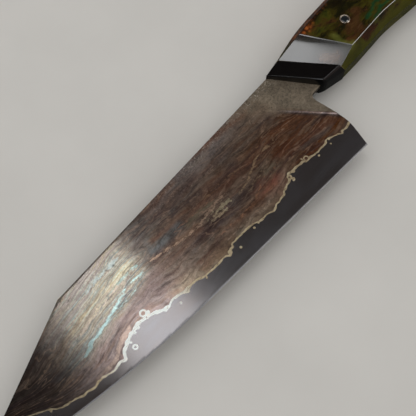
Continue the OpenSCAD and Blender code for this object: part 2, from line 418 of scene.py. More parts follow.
left = Strip(
    STRIP_LEFT, 5,
    blobs=[(51.1, 30.8, .42, .42, 0), (59, 30.3, .55, .5, 0), (103.1, 29.8, .55, .55, 0),
           (100.2, 29.7, .5, .42, 0), (113.3, 30.9, .6, .6, 0), (146.8, 27.4, .5, .55, 0),
           (132.2, 28.5, .55, .4, .4), (75, 28.8, .95, .7, .5), (141.6, 26.4, 1, .7, -.5),
           (72.2, 26.6, .8, .55, -.4), (158.6, 20.3, 1.5, .9, .4), (171.4, 22.9, .45, .7, .5),
           (165.2, 20.9, .8, 1, .2), (49.9, 28.9, .4, .5, 0), (118.4, 29.6, .6, .45, .8),
           (90.6, 31, .7, .45, .2), (65.3, 25.6, .3, .75, .35), (178.2, 25.6, .8, .5, -.5),
           (167.5, 21.4, .6, .8, .1), (153, 24.9, .8, .5, -.4), (209.8, 17.4, .5, .6, .2)],
    rings=[(63.7, 27, 1.05, .27), (75.4, 26.9, .85, .33), (159.6, 18.9, 1.25, .42),
           (171.6, 25.4, .85, .36), (117.8, 28.9, .7, .28)],
    holes=[(63.7, 27, .62), (75.5, 26.9, .42), (159.8, 19, .72), (160, 20.9, .34),
           (171.6, 25.4, .45)])
right = Strip(
    strip_right(), 8,
    blobs=[(58, 31, .5, .5, 0), (84, 31.4, .55, .5, 0), (108, 30.6, .5, .55, 0),
           (128.5, 30.2, .5, .45, .3), (149, 27.6, .55, .5, 0), (96, 29.2, .9, .6, .4),
           (139, 26, .8, .6, -.3), (163, 23, 1.1, .8, .3)],
    rings=[(70.5, 28.4, 1, .28), (122, 28.4, .9, .3), (176, 24.6, .9, .32)],
    holes=[(70.5, 28.4, .55), (122, 28.4, .5), (176, 24.6, .45)])

# Which sides of a grid cell the outline joins, by the cell's corners inside the strip:
# l is the low x side, r high x, b low y, t high y.
CELL_CUTS = {1: "lb", 2: "br", 3: "lr", 4: "rt", 6: "bt", 7: "lt", 8: "tl", 9: "tb", 11: "tr",
             12: "rl", 13: "rb", 14: "bl", 5: "lbrt", 10: "brtl"}


def strip_edges(strip):
    """The strip's outline as loose edges, from the zero line of its field."""
    pitch = 0.30
    xs = np.arange(34.0, 240.0, pitch)
    ys = np.arange(3.0, 35.0, pitch)
    grid_x, grid_y = np.meshgrid(xs, ys, indexing="ij")
    points = np.stack([grid_x.ravel(), grid_y.ravel()], 1)
    near = np.abs(points[:, 1] - strip.height(points[:, 0])) < 6
    field = np.full(len(points), 5.0)
    field[near] = strip.field(points[near])
    field = field.reshape(grid_x.shape)
    field = np.where(np.abs(field) < 0.012, 0.012, field)
    verts, index, edges = [], {}, []

    def cut(side):
        """Vertex on a grid line, which runs from (i, j) along y if upright and else along x."""
        if side not in index:
            upright, i, j = side
            i2, j2 = (i, j + 1) if upright else (i + 1, j)
            t = field[i, j] / (field[i, j] - field[i2, j2])
            t = min(max(t, 0.06), 0.94)
            verts.append((xs[i] + (xs[i2] - xs[i]) * t, ys[j] + (ys[j2] - ys[j]) * t))
            index[side] = len(verts) - 1
        return index[side]

    within = (field < 0).astype(int)
    codes = within[:-1, :-1] + within[1:, :-1] * 2 + within[1:, 1:] * 4 + within[:-1, 1:] * 8
    for i, j in zip(*np.nonzero((codes > 0) & (codes < 15))):
        side = {"b": (0, i, j), "r": (1, i + 1, j), "t": (0, i, j + 1), "l": (1, i, j)}
        cuts = CELL_CUTS[int(codes[i, j])]
        for a, b in zip(cuts[::2], cuts[1::2]):
            edges.append((cut(side[a]), cut(side[b])))
    return verts, edges


# ---------------------------------------------------------------- blade: one shared 2-D mesh

fixed, fixed_edges, edge_strips = [], [], []


def constrain(points, closed=False, strip=None, links=None):
    """Adds points and edges that the mesh has to keep."""
    base = len(fixed)
    fixed.extend([tuple(p) for p in points])
    if links is None:
        links = [(i, i + 1) for i in range(len(points) - 1)]
        if closed:
            links.append((len(points) - 1, 0))
    for a, b in links:
        fixed_edges.append((base + a, base + b))
        edge_strips.append(strip)


def inset(curve, depth, others):
    """A row of points at a depth inside an outline curve, clear of the other curves."""
    along = np.gradient(curve, axis=0)
    along /= np.hypot(*along.T)[:, None]
    q = curve + depth * np.stack([-along[:, 1], along[:, 0]], 1)
    keep = inside(q, outline)
    for other in others:
        keep &= distance(q, other) > depth - 0.01
    runs, run = [], []
    for point, kept in zip(q, keep):
        if kept:
            run.append(point)
        elif run:
            runs.append(run)
            run = []
    if run:
        runs.append(run)
    for run in runs:
        if len(run) > 1:
            constrain(run)


constrain(outline, closed=True)
constrain(bore, closed=True)
for strip in (left, right):
    strip_points, strip_links = strip_edges(strip)
    constrain(strip_points, strip=strip, links=strip_links)
for depth in (0.10, 0.32):
    inset(spine_curve[:-1], depth, [spine_curve, edge_curve])
    inset(heel_curve, depth, [heel_curve, edge_curve])
inset(edge_curve, HONED, [spine_curve, heel_curve])

# rows along the plunge line, whose wall is steep
PLUNGE_ALONG = np.array([-PLUNGE_OUT[1], PLUNGE_OUT[0]])
for offset in (-0.14, 0.06, 0.26, 0.48, 0.72, 0.98, 1.4):
    start = PLUNGE_START + offset * PLUNGE_OUT
    row = np.array([start + PLUNGE_ALONG * t for t in np.arange(0.2, 55, 0.7)])
    row = row[inside(row, outline)]
    row = row[(distance(row, spine_curve) > 0.4) & (distance(row, heel_curve) > 0.4)]
    if len(row) > 1:
        constrain(row)

# the fixed points, filed by the 1 mm cell that they lie in
cells = {}
for point in np.array(fixed):
    cells.setdefault((int(point[0] // 1.0), int(point[1] // 1.0)), []).append(point)


def free(p, gap=0.46):
    """True where no fixed point is nearer than gap."""
    i, j = int(p[0] // 1.0), int(p[1] // 1.0)
    return not any((q[0] - p[0]) ** 2 + (q[1] - p[1]) ** 2 < gap * gap
                   for a in (-1, 0, 1) for b in (-1, 0, 1) for q in cells.get((i + a, j + b), ()))


def filler_points(pitch=1.05):
    """A staggered grid over the free area, thinned out on the tang."""
    xs = np.arange(-41, 247, pitch)
    ys = np.arange(-10.4, 43, pitch * 0.866)
    grid = np.array([(x + (0.5 * pitch if j % 2 else 0), y) for j, y in enumerate(ys) for x in xs])
    grid = grid[inside(grid, outline)]
    grid = grid[np.hypot(*grid.T) > PIN_R + 0.6]
    grid = grid[(grid[:, 0] > 28) | (np.abs((grid[:, 0] / pitch).round() % 3) < 0.5)]
    return [p for p in grid if free(p)]


flat_verts, flat_edges, flat_faces, _, edge_sources, _ = delaunay_2d_cdt(
    [Vector(p) for p in fixed] + [Vector(p) for p in filler_points()], fixed_edges, [], 0, 1e-5, True)
flat_verts = np.array([tuple(v) for v in flat_verts])
tris = np.array([f for f in flat_faces if len(f) == 3], int)
corner_a, corner_b, corner_c = (flat_verts[tris[:, i]] for i in range(3))
area = 0.5 * ((corner_b[:, 0] - corner_a[:, 0]) * (corner_c[:, 1] - corner_a[:, 1])
              - (corner_b[:, 1] - corner_a[:, 1]) * (corner_c[:, 0] - corner_a[:, 0]))
tris[area < 0] = tris[area < 0][:, ::-1]
centres = flat_verts[tris].mean(1)
keep = inside(centres, outline) & ~inside(centres, bore)
tris, centres, area = tris[keep], centres[keep], np.abs(area[keep])


def edge_key(a, b):
    return min(a, b), max(a, b)


def sides_of(tri):
    a, b, c = tri
    return (a, b), (b, c), (c, a)


strips_at = {}
for (a, b), sources in zip(flat_edges, edge_sources):
    for source in sources:
        if source < len(edge_strips) and edge_strips[source]:
            strips_at.setdefault(edge_key(a, b), set()).add(edge_strips[source])
edge_tris = {}
for index, tri in enumerate(tris):
    for a, b in sides_of(tri):
        edge_tris.setdefault(edge_key(a, b), []).append(index)

CLADDING, BARE_SHIM, BARE_CORE = range(3)


def regions(strip):
    """What shows at each triangle. Triangles that no strip outline divides get
    one label, by their area's vote."""
    parent = np.arange(len(tris))

    def find(i):
        while parent[i] != i:
            parent[i] = parent[parent[i]]
            i = parent[i]
        return i

    for edge, pair in edge_tris.items():
        if len(pair) == 2 and strip not in strips_at.get(edge, ()):
            a, b = find(pair[0]), find(pair[1])
            if a != b:
                parent[b] = a
    root = np.array([find(i) for i in range(len(tris))])
    x, y = centres.T
    vote = np.where(y > strip.height(x), BARE_CORE, CLADDING)
    near = (np.abs(y - strip.height(x)) < 6) & (x > 34)
    field = np.full(len(tris), 5.0)
    field[near] = strip.field(centres[near])
    vote[field < 0] = BARE_SHIM
    vote[x < 34] = CLADDING
    labels = np.zeros(len(tris), int)
    for r in np.unique(root):
        m = root == r
        labels[m] = np.argmax([area[m & (vote == kind)].sum() for kind in range(3)])
    return labels


def slab(name, use, labels, top, bottom, materials, paint=None, material_of=None, smooth=24):
    """A closed solid over the chosen triangles. labels are those of the top and the bottom
    face; top and bottom give each label a height for every vertex, and upright walls join
    differing heights."""
    chosen = np.nonzero(use)[0]
    top = {k: np.round(v, 5) for k, v in top.items()}
    bottom = {k: np.round(v, 5) for k, v in bottom.items()}

    def heights(t):
        return top[labels[0][t]], bottom[labels[1][t]]

    levels = {}
    for t in chosen:
        high, low = heights(t)
        for v in tris[t]:
            levels.setdefault(v, set()).update((high[v], low[v]))
    ids, verts, faces, face_materials = {}, [], [], []

    def at(v, z):
        if (v, z) not in ids:
            ids[v, z] = len(verts)
            verts.append((*flat_verts[v], z))
        return ids[v, z]

    def wall(a, b, low_a, low_b, high_a, high_b):
        """Outward wall on the right of a to b, between two heights at each end."""
        if abs(high_a - low_a) < 1e-9 and abs(high_b - low_b) < 1e-9:
            return
        up = sorted(z for z in levels[b] if low_b < z < high_b)
        down = sorted((z for z in levels[a] if low_a < z < high_a), reverse=True)
        ring = [at(a, low_a), at(b, low_b)] + [at(b, z) for z in up]
        ring += [at(b, high_b), at(a, high_a)] + [at(a, z) for z in down]
        clean = [corner for i, corner in enumerate(ring) if corner != ring[i - 1]]
        if len(clean) > 2:
            faces.append(clean)

    for t in chosen:
        high, low = heights(t)
        faces.append([at(v, high[v]) for v in tris[t]])
        faces.append([at(v, low[v]) for v in tris[t][::-1]])
        face_materials += [0 if material_of is None else int(material_of[t])] * 2
    for t in chosen:
        high, low = heights(t)
        for u, v in sides_of(tris[t]):
            others = [s for s in edge_tris[edge_key(u, v)] if s != t and use[s]]
            if not others:
                wall(u, v, low[u], low[v], high[u], high[v])
                continue
            next_high, next_low = heights(others[0])
            if high[u] + high[v] > next_high[u] + next_high[v]:
                wall(u, v, next_high[u], next_high[v], high[u], high[v])
            if low[u] + low[v] < next_low[u] + next_low[v]:
                wall(u, v, low[u], low[v], next_low[u], next_low[v])
    face_materials += [0] * (len(faces) - len(face_materials))
    verts = np.array(verts)
    verts[:, 2] += MID_Z
    attributes = paint(verts[:, :2]) if paint else None
    return add_mesh(name, verts, faces, materials, smooth, face_materials, attributes)


# ---------------------------------------------------------------- colours of the blade

tint_noise = Noise(31)
flow_noise = Noise(32)


def flow_y(p, strip):
    """How far the layers' flow has drifted at each point."""
    x, y = p.T
    drift = -0.075 * (x - 40) + 0.19 * np.maximum(x - 150, 0) ** 1.05
    smooth_line = np.convolve(np.pad(strip.line_y, 12, mode="edge"), np.ones(25) / 25, "valid")
    line_y = np.interp(x, strip.line_x, smooth_line)
    near_strip = np.exp(-np.maximum(line_y - y, 0) / 7.0)
    return drift * (1 - near_strip) + (line_y - 29.0) * near_strip


def flow(p, strip, seed):
    """Texture coordinates that follow the layers."""
    x = p[:, 0]
    y = p[:, 1] - flow_y(p, strip) + 1.3 * flow_noise(x / 16 + seed, p[:, 1] / 9) \
        + 0.5 * flow_noise(x / 6 + 3 * seed, p[:, 1] / 4)
    return np.stack([x, y, np.full(len(p), 10.0 * seed)], 1)


def along_path(p, path, step, widths):
    """Distance to a smoothed path, the share of its length and the half width there."""
    path = catmull(path, step)
    gap, place = nearest(p, path)
    t = place / (len(path) - 1)
    return gap, t, widths[0] + (widths[1] - widths[0]) * t


def streak(p, path, widths, soft):
    """Mask of a soft streak along a path."""
    gap, t, width = along_path(p, path, 1.5, widths)
    ends = rise(0, 0.12, t) * rise(0, 0.10, 1 - t)
    return ends * fall(width * (1 - 0.5 * soft), width * (1 + 0.6 * soft), gap)


def vein_reach(p, path, widths):
    """How far inside a vein each point lies, in mm; the vein tapers at both ends."""
    gap, t, width = along_path(p, path, 1.0, widths)
    ends = rise(0, 0.15, t) * rise(0, 0.12, 1 - t)
    return (width + 0.3) * ends - 0.3 - gap


# Soft streaks: path, half widths at its ends, softness, sRGB colour, opacity.
STREAKS = [
    ([(116, 11.4), (121, 11), (127, 10.2), (132, 9.2)], (.9, .7), 1.4, (176, 140, 116), .6),
    ([(104, 10.2), (110, 8.4), (117, 8), (122, 8.2)], (.7, .5), 1.5, (170, 166, 138), .45),
    ([(144.4, 1.2), (152.6, .6), (157.8, 1), (162.2, .8), (166.8, 1.8), (172.4, 2.7),
      (177.9, 2.5), (184.7, 3.6)], (1.9, 2.1), 1.5, (188, 180, 142), .85),
    ([(119.5, 6), (126.5, 5.4), (130.7, 5.2), (135.1, 5.3), (140, 4.4)], (1.7, 1.5), 1.8,
     (128, 138, 144), .65),
    ([(112, 3.4), (121, 2.8), (129, 2.4), (137, 1.2)], (.8, .8), 1.6, (158, 122, 104), .5),
    ([(66, 20.2), (76, 20), (86, 21.4), (96, 21.2), (108, 20.4)], (.7, .8), 1.6,
     (160, 134, 112), .5),
    ([(80, 23.6), (90, 24.4), (100, 23), (110, 22.2)], (.5, .6), 1.5, (168, 126, 96), .5),
    ([(92, 26.4), (104, 25), (116, 24.2), (128, 24.2), (140, 22.4)], (1.2, 1.7), 1.5,
     (172, 158, 144), .55),
    ([(78, 6.6), (88, 7.4), (98, 6.4), (110, 4.6)], (.6, .7), 1.6, (146, 122, 100), .45),
    ([(90, 19), (100, 18.4), (112, 17), (124, 16.2)], (1.3, 1.1), 1.6, (96, 76, 76), .6),
    ([(72, 16.2), (84, 16.8), (92, 18)], (.9, .8), 1.6, (92, 70, 62), .6),
    ([(60, 6), (72, 5.6), (84, 3), (96, 1.4)], (.9, 1), 1.8, (112, 88, 72), .5),
    ([(186, 16.6), (194, 17.4), (203, 15.6)], (1.4, 1.4), 1.8, (128, 116, 110), .5),
    ([(186, 10), (194, 11.6), (202, 12)], (1.8, 1.6), 1.8, (112, 116, 120), .5),
]
# Crisp veins: path, half widths at its ends, sRGB colour, opacity.
VEINS = [
    ([(95, 12.6), (100.7, 10.8), (107.3, 10.8), (112.9, 11.2), (115.7, 11.9), (122, 11.3),
      (127.3, 10.5), (130.9, 9.3), (134.1, 8.8), (138.3, 7.7), (143.4, 6.5)], (.5, .55),
     (204, 172, 148), .85),
    ([(98, 15), (100.6, 13.8), (103.4, 14.2)], (.4, .8), (206, 194, 162), .8),
    ([(101.6, 11.8), (103.4, 13.6), (104.6, 15.8), (103.8, 17.8)], (.3, .5), (216, 200, 166), .8),
    ([(103.2, 14.3), (106, 13.3), (108.6, 12.6), (111.2, 13.4), (114, 12.8)], (.8, .3),
     (208, 194, 160), .8),
    ([(104.4, 15.9), (107.2, 15.6), (109.6, 14.8), (112.6, 15.5), (116, 14.9)], (.6, .28),
     (216, 192, 158), .8),
    ([(70, 17.2), (76, 19.4), (83, 19), (90, 21.2), (98, 22.8), (108, 22), (118, 21.2)], (.2, .3),
     (184, 134, 104), .7),
    ([(86, 26.8), (95, 27.2), (104, 25.6), (114, 24.6), (126, 24.8)], (.25, .4),
     (196, 168, 148), .7),
    ([(56, 7.6), (68, 7), (80, 8.6), (92, 6.8), (104, 6.2), (116, 3.6)], (.2, .3),
     (168, 132, 104), .65),
    ([(66, 3.2), (80, 2.4), (96, -.8), (112, -2.8)], (.2, .28), (150, 130, 114), .6),
    ([(100, 9.4), (108, 8), (118, 6.8), (128, 5.6)], (.28, .3), (178, 132, 104), .7),
    ([(76, 14.6), (82, 16.4), (88, 17), (93, 18.6)], (.25, .3), (166, 142, 118), .6),
    ([(57.2, 14.5), (61.3, 11.1), (68, 10.8), (76.9, 10.7), (84.2, 13.2), (89.6, 14.8),
      (95.5, 15.7), (99.7, 14.3)], (.36, .5), (190, 160, 128), .8),
    ([(62, 13), (70, 12.8), (78, 13), (84, 15.6)], (.25, .4), (112, 84, 64), .6),
    ([(142.7, 7.8), (148.2, 7.3), (153.5, 6.7), (157.2, 6.9), (163.3, 8.6), (167.8, 9.5),
      (173.4, 10.4), (177.5, 11), (182.4, 11.9), (189.6, 14.8)], (.3, .95), (152, 176, 174), .95),
    ([(147.9, 10.7), (153.9, 10.2), (158.8, 10.8), (162.3, 10.4), (165.5, 11.1), (170, 12.2)],
     (.3, .28), (148, 174, 172), .9),
    ([(144, 4.6), (149, 3.4), (155, 3.4), (161, 4.2)], (.6, .5), (134, 160, 158), .8),
    ([(146, -3.6), (153, -4.4), (161, -4.2), (170, -3.2)], (.8, .6), (146, 160, 158), .7),
    ([(150, 4), (158, 3.8), (165.1, 4.6), (170.6, 4.6), (177.5, 5.6), (186, 7.4)], (.6, .6),
     (166, 152, 138), .6),
    ([(146, -6.6), (152, -7), (159, -6.4), (166, -5.4), (174, -4.4)], (.5, .5),
     (112, 104, 98), .5),
    ([(147, 9.2), (155, 8.8), (163, 9.4), (172, 11.4)], (.22, .22), (84, 84, 88), .8),
    ([(148, 5.4), (158, 5.6), (168, 6.8), (178, 8.6)], (.2, .22), (92, 84, 82), .7),
    ([(150, -1), (160, -1.2), (172, .6), (182, 2)], (.18, .2), (96, 90, 86), .7),
    ([(164, 17.4), (168.7, 18.8), (174.8, 20.6), (179.9, 23), (187.1, 22.9), (192.2, 22.6)],
     (1.1, .7), (172, 150, 136), .8),
]
# short dark dashes, by their middles
VEINS += [([(x - .7, y - .1), (x, y), (x + .7, y + .1)], (.55, .55), (46, 42, 40), .9)
          for x, y in ((155.4, -4.1), (174.6, -7.1), (157.4, 8.2), (152, -3.1), (179.3, 6))]
# Round clouds on the left face: x, y, radius, sRGB colour, opacity.
CLOUDS = [(83.5, 22.3, 5.2, (178, 118, 102), .75), (78, 18, 3.6, (156, 150, 132), .7),
          (96, 23.5, 4, (150, 118, 100), .5), (66, 15.5, 4, (128, 78, 52), .5)]
# x, sRGB colour of the bare cladding there; the darker colours from x 190 on are painted shade on the
# tip
GROUND = [(30, (118, 88, 66)), (55, (128, 96, 74)), (70, (140, 112, 92)), (95, (146, 120, 106)),
          (125, (150, 130, 120)), (142, (150, 136, 128)), (165, (150, 144, 136)),
          (190, (140, 130, 124)), (205, (116, 106, 101)), (225, (88, 82, 79)), (250, (80, 77, 75))]
# x, how much the whole pattern is lightened or darkened there: a painted highlight on the tip third
# from x 147 to 182, painted shade on the tip past it
PAINTED_LIGHT_ALONG_X = [(0, .72), (55, .72), (66, .66), (118, .66), (128, .74), (147, 1.14), (182, 1.12),
              (195, .50), (210, .34), (250, .34)]


def neck_fade(p):
    """1 behind the plunge line. Its front is crisp at the edge side and melts
    into the grind towards the spine."""
    x, y = p.T
    width = 0.5 + 15.0 * fall(-8, 15, y)
    front = plunge_distance(p) + (0.05 + 0.22 * width) * tint_noise(x / 5, y / 3, 2)
    return fall(-0.4 * width, 0.9 * width, front)


def plunge_wall(p, low, high):
    """1 on the steep wall of the plunge, which fades out from low to high in front of it."""
    front = plunge_distance(p)
    return rise(0.0, 0.4, front) * fall(low, high, front) * rise(2, 12, p[:, 1])


def cover(colours, rgb, mask):
    return colours * (1 - mask[:, None]) + srgb(rgb) * mask[:, None]


def ground_colour(p, strip, seed, layer_y):
    """The cladding's broad colours."""
    x, y = p.T
    shades = srgb([rgb for _, rgb in GROUND])
    c = np.stack([np.interp(x, [at for at, _ in GROUND], shades[:, i]) for i in range(3)], 1)
    above = strip.height(x) - y
    # greyer towards the spine, warm and orange along the strip near the heel
    c = cover(c, (136, 129, 127), 0.80 * fall(-8, 7, y + 2.5 * tint_noise(x / 14, y / 5))
              * rise(55, 85, x) * fall(200, 225, x))
    c = cover(c, (126, 74, 32), 0.80 * fall(2.2, 9.5, above + 1.8 * tint_noise(x / 7, y / 3))
              * fall(46, 80, x))
    c = cover(c, (226, 204, 184), 0.78 * fall(2.0, 7.5, above + 1.8 * tint_noise(x / 9 + 4, y / 3))
              * rise(66, 90, x) * fall(140, 150, x))
    # broad mauve and rust clouds
    mauve = tint_noise(x / 24 + seed, layer_y / 3.4, 3)
    rust = tint_noise(x / 30 + 50 + seed, layer_y / 2.8, 3)
    grey = tint_noise(x / 17 + 20 * seed, y / 8 + 3, 3)
    amount = (1 - 0.7 * rise(130, 150, x)) * rise(44, 56, plunge_distance(p) + 48)
    c = cover(c, (106, 82, 80), np.clip(mauve * 1.7, 0, 0.65) * amount)
    c = cover(c, (150, 104, 78), np.clip(rust * 1.5 - 0.1, 0, 0.5) * amount
              * (1 - 0.6 * rise(110, 150, x)))
    c = cover(c, (158, 146, 134), np.clip(-rust * 1.5 - 0.1, 0, 0.5) * amount)
    c = cover(c, (118, 116, 120), np.clip(grey * 1.4 - 0.15, 0, 0.55) * amount * rise(70, 100, x))
    # the edge side of the tip third is a plain mauve
    low = rise(7.5, 13.5, y - 0.10 * (x - 150) + 1.2 * tint_noise(x / 6, y / 2)) * rise(138, 150, x)
    c = cover(c, (170, 157, 157), 0.88 * low * fall(190, 215, x))
    # a paler olive hem along the shim
    c = cover(c, (198, 184, 162), 0.66 * fall(1.2, 6.0, above + 1.4 * tint_noise(x / 8 + 14, y / 3))
              * rise(76, 96, x) * fall(140, 150, x))
    # a plain grey zone just before the bright third
    return cover(c, (126, 125, 123), 0.7 * rise(118, 134, x + 3 * tint_noise(x / 8, y / 4))
                 * fall(140, 148, x) * fall(4, 10, y))


def tint(p, strip, seed, veined):
    """The cladding's colour before its fine grain, and the crisp veins on it:
    their colour, with how far inside a vein a point lies in the last channel."""
    x, y = p.T
    layer_y = flow(p, strip, seed)[:, 1]
    c = ground_colour(p, strip, seed, layer_y)
    vein = c
    reach = np.full(len(p), -9.0)
    if veined:
        q = p + np.stack([0.8 * tint_noise(x / 4 + seed, y / 2.0, 2),
                          0.6 * tint_noise(x / 2.6, y / 1.4 + 9 * seed, 2)], 1)
        for cx, cy, r, rgb, opacity in CLOUDS:
            gap = np.hypot((q[:, 0] - cx) / 1.7, q[:, 1] - cy)
            c = cover(c, rgb, opacity * fall(0.2 * r, 1.3 * r, gap))
        for path, widths, soft, rgb, opacity in STREAKS:
            c = cover(c, rgb, opacity * streak(q, path, widths, soft))
        vein = c.copy()
        for path, widths, rgb, opacity in VEINS:
            inner = vein_reach(q, path, widths)
            best = inner > reach
            vein[best] = c[best] * (1 - opacity) + srgb(rgb) * opacity
            reach = np.maximum(reach, inner)
    else:
        haze = tint_noise(x / 40 + 80, layer_y / 1.7, 2) * rise(100, 150, x) * fall(190, 215, x)
        c = cover(c, (136, 158, 157), np.clip(haze * 2.2 - 0.5, 0, 0.8))
        c = cover(c, (168, 154, 132), np.clip(-haze * 1.8 - 0.2, 0, 0.7))
    # the bare grey neck behind the plunge line, which fades out along the spine
    neck = neck_fade(p)
    c = cover(c, (134, 122, 106), neck)
    # painted light along x: a painted highlight on the tip third, painted shade on the tip past it
    painted_light = np.interp(x, *np.array(PAINTED_LIGHT_ALONG_X).T)[:, None]
    c = cover(c * painted_light, (132, 128, 132), 0.7 * plunge_wall(p, 1.0, 2.2))
    reach = np.clip(reach, -2, 2) * (1 - neck) - 2 * neck
    return (np.concatenate([c, np.ones((len(p), 1))], 1),
            np.concatenate([vein * painted_light, (0.5 + 0.25 * reach)[:, None]], 1))


def matte(p):
    """1 on the unground neck, fading along the spine, 0 on the polished grind."""
    x, y = p.T
    spine_side = 0.8 * fall(-10, 1, y + 3.0 * tint_noise(x / 8, y / 3)) * fall(90, 135, x)
    return np.maximum(neck_fade(p), spine_side)


def gloss(p, strip):
    """How much of the surface mirrors: strong on the etched tip half near the
    spine, weak on the matt mauve zone at its edge side."""
    x, y = p.T
    low = rise(7.0, 13.0, y - 0.10 * (x - 150) + 1.5 * tint_noise(x / 6, y / 2)) * rise(132, 146, x)
    near = fall(1.5, 4.5, strip.height(x) - y + 0.8 * tint_noise(x / 5 + 7, y / 2))
    mirror = (0.42 + 0.22 * rise(138, 150, x)) * (1 - 0.58 * low * (1 - 0.8 * near)) \
        * (1 - 0.75 * rise(178, 194, x))
    return np.clip(mirror + 0.35 * plunge_wall(p, 1.2, 2.6), 0, 1)


def bright(p):
    """1 on the finely streaked half of the tip third near the spine, where a highlight is painted."""
    x, y = p.T
    low = rise(8.0, 13.0, y - 0.13 * (x - 150) + 1.2 * tint_noise(x / 6, y / 2))
    return rise(138, 149, x + 2 * tint_noise(x / 4, y / 2)) * (1 - low) \
        * fall(180, 197, x + 3 * tint_noise(x / 5, y / 3))


def paint_cladding(p, strip, flow_seed, tint_seed, veined):
    """All attributes of a cladding face."""
    colour, vein = tint(p, strip, tint_seed, veined)
    return {"flow": flow(p, strip, flow_seed), "tint": colour, "matte": matte(p), "vein": vein,
            "gloss": gloss(p, strip), "bright": bright(p),
            "rimmed": fall(1.0, 6.0, p[:, 1] - SPINE_Y)}


# ---------------------------------------------------------------- node helpers

class Nodes:
    """Builds nodes in a tree."""

    def __init__(self, tree):
        self.tree = tree

    def put(self, node, key, value):
        """Links or sets an input. None leaves it alone."""
        socket = node.inputs[key]
        if isinstance(value, bpy.types.NodeSocket):
            self.tree.links.new(value, socket)
        elif value is not None:
            if hasattr(value, "__len__") and len(value) < len(socket.default_value):
                value = (*value, 1.0)
            socket.default_value = value

    def node(self, kind, inputs=None, **settings):
        """A new node's outputs."""
        node = self.tree.nodes.new("ShaderNode" + kind)
        for key, value in settings.items():
            setattr(node, key, value)
        for key, value in (inputs or {}).items():
            self.put(node, key, value)
        return node.outputs

    def map(self, value, over=(0.0, 1.0), to=(0.0, 1.0), **settings):
        inputs = {"Value": value, "From Min": over[0], "From Max": over[1],
                  "To Min": to[0], "To Max": to[1]}
        return self.node("MapRange", inputs, **settings)["Result"]


class Material(Nodes):
    """A node material. Scales are per millimetre, one number or one for each axis."""

    def __init__(self, name):
        self.material = bpy.data.materials.new(name)
        self.material.use_nodes = True
        super().__init__(self.material.node_tree)
        self.coord = self.node("TexCoord")["Object"]

    def finish(self, **inputs):
        """Sets the surface's inputs and gives the material."""
        for key, value in inputs.items():
            self.put(self.tree.nodes["Principled BSDF"], key.replace("_", " "), value)
        return self.material

    def scaled(self, scale, source=None):
        """Object coordinates in millimetres, or a source vector, times scale."""
        if source is None:
            source, unit = self.coord, 1000.0
        else:
            unit = 1.0
        return self.node("Mapping", {"Vector": source, "Scale": np.ones(3) * scale * unit})["Vector"]

    def split(self, vector):
        return self.node("SeparateXYZ", {0: vector})

    def attr(self, name, out="Fac"):
        return self.node("Attribute", attribute_name=name)[out]

    def noise(self, scale, detail=4, rough=0.6, distortion=0.0, source=None, out="Fac"):
        return self.node("TexNoise", {"Vector": self.scaled(scale, source), "Scale": 1.0,
                                      "Detail": detail, "Roughness": rough,
                                      "Distortion": distortion})[out]

    def voronoi(self, scale, source=None):
        return self.node("TexVoronoi", {"Vector": self.scaled(scale, source), "Scale": 1.0,
                                        "Randomness": 1.0})["Distance"]

    def warped(self, vector, by, amount):
        return self.node("VectorMath", {0: by, 1: amount, 2: vector}, operation="MULTIPLY_ADD")[0]

    def ramp(self, factor, stops):
        """A colour ramp whose stops are place: sRGB colour."""
        node = self.tree.nodes.new("ShaderNodeValToRGB")
        elements = node.color_ramp.elements
        while len(elements) < len(stops):
            elements.new(1.0)
        for element, (place, rgb) in zip(elements, stops.items()):
            element.position = place
            element.color = (*srgb(rgb), 1.0)
        self.put(node, "Fac", factor)
        return node.outputs["Color"]

    def math(self, operation, a, b=0.0):
        return self.node("Math", {0: a, 1: b, 2: 0.0}, operation=operation)[0]

    def product(self, first, *others):
        for other in others:
            first = self.math("MULTIPLY", first, other)
        return first

    def mix(self, base, other, masks, amount, blend):
        factors = masks if amount is None else (*masks, amount)
        factor = self.product(*factors) if factors else 1.0
        return self.node("Mix", {0: factor, 6: base, 7: other}, data_type="RGBA",
                         blend_type=blend)[2]

    def over(self, base, colour, *masks, amount=None):
        """Lays a socket's or an sRGB colour over base, by the product of the masks."""
        if isinstance(colour, tuple):
            colour = srgb(colour)
        return self.mix(base, colour, masks, amount, "MIX")

    def times(self, base, factor, *masks, amount=None):
        """Multiplies base by a socket or linear triple, by the product of the masks."""
        return self.mix(base, factor, masks, amount, "MULTIPLY")

    def bump(self, height, strength, depth, normal=None):
        return self.node("Bump", {"Height": height, "Strength": strength, "Distance": depth * MM,
                                  "Normal": normal})["Normal"]

    def bevel(self, radius):
        """A normal that rounds the sharp edges of a piece a little."""
        return self.node("Bevel", {"Radius": radius * MM}, samples=8)["Normal"]


# ---------------------------------------------------------------- materials of the blade

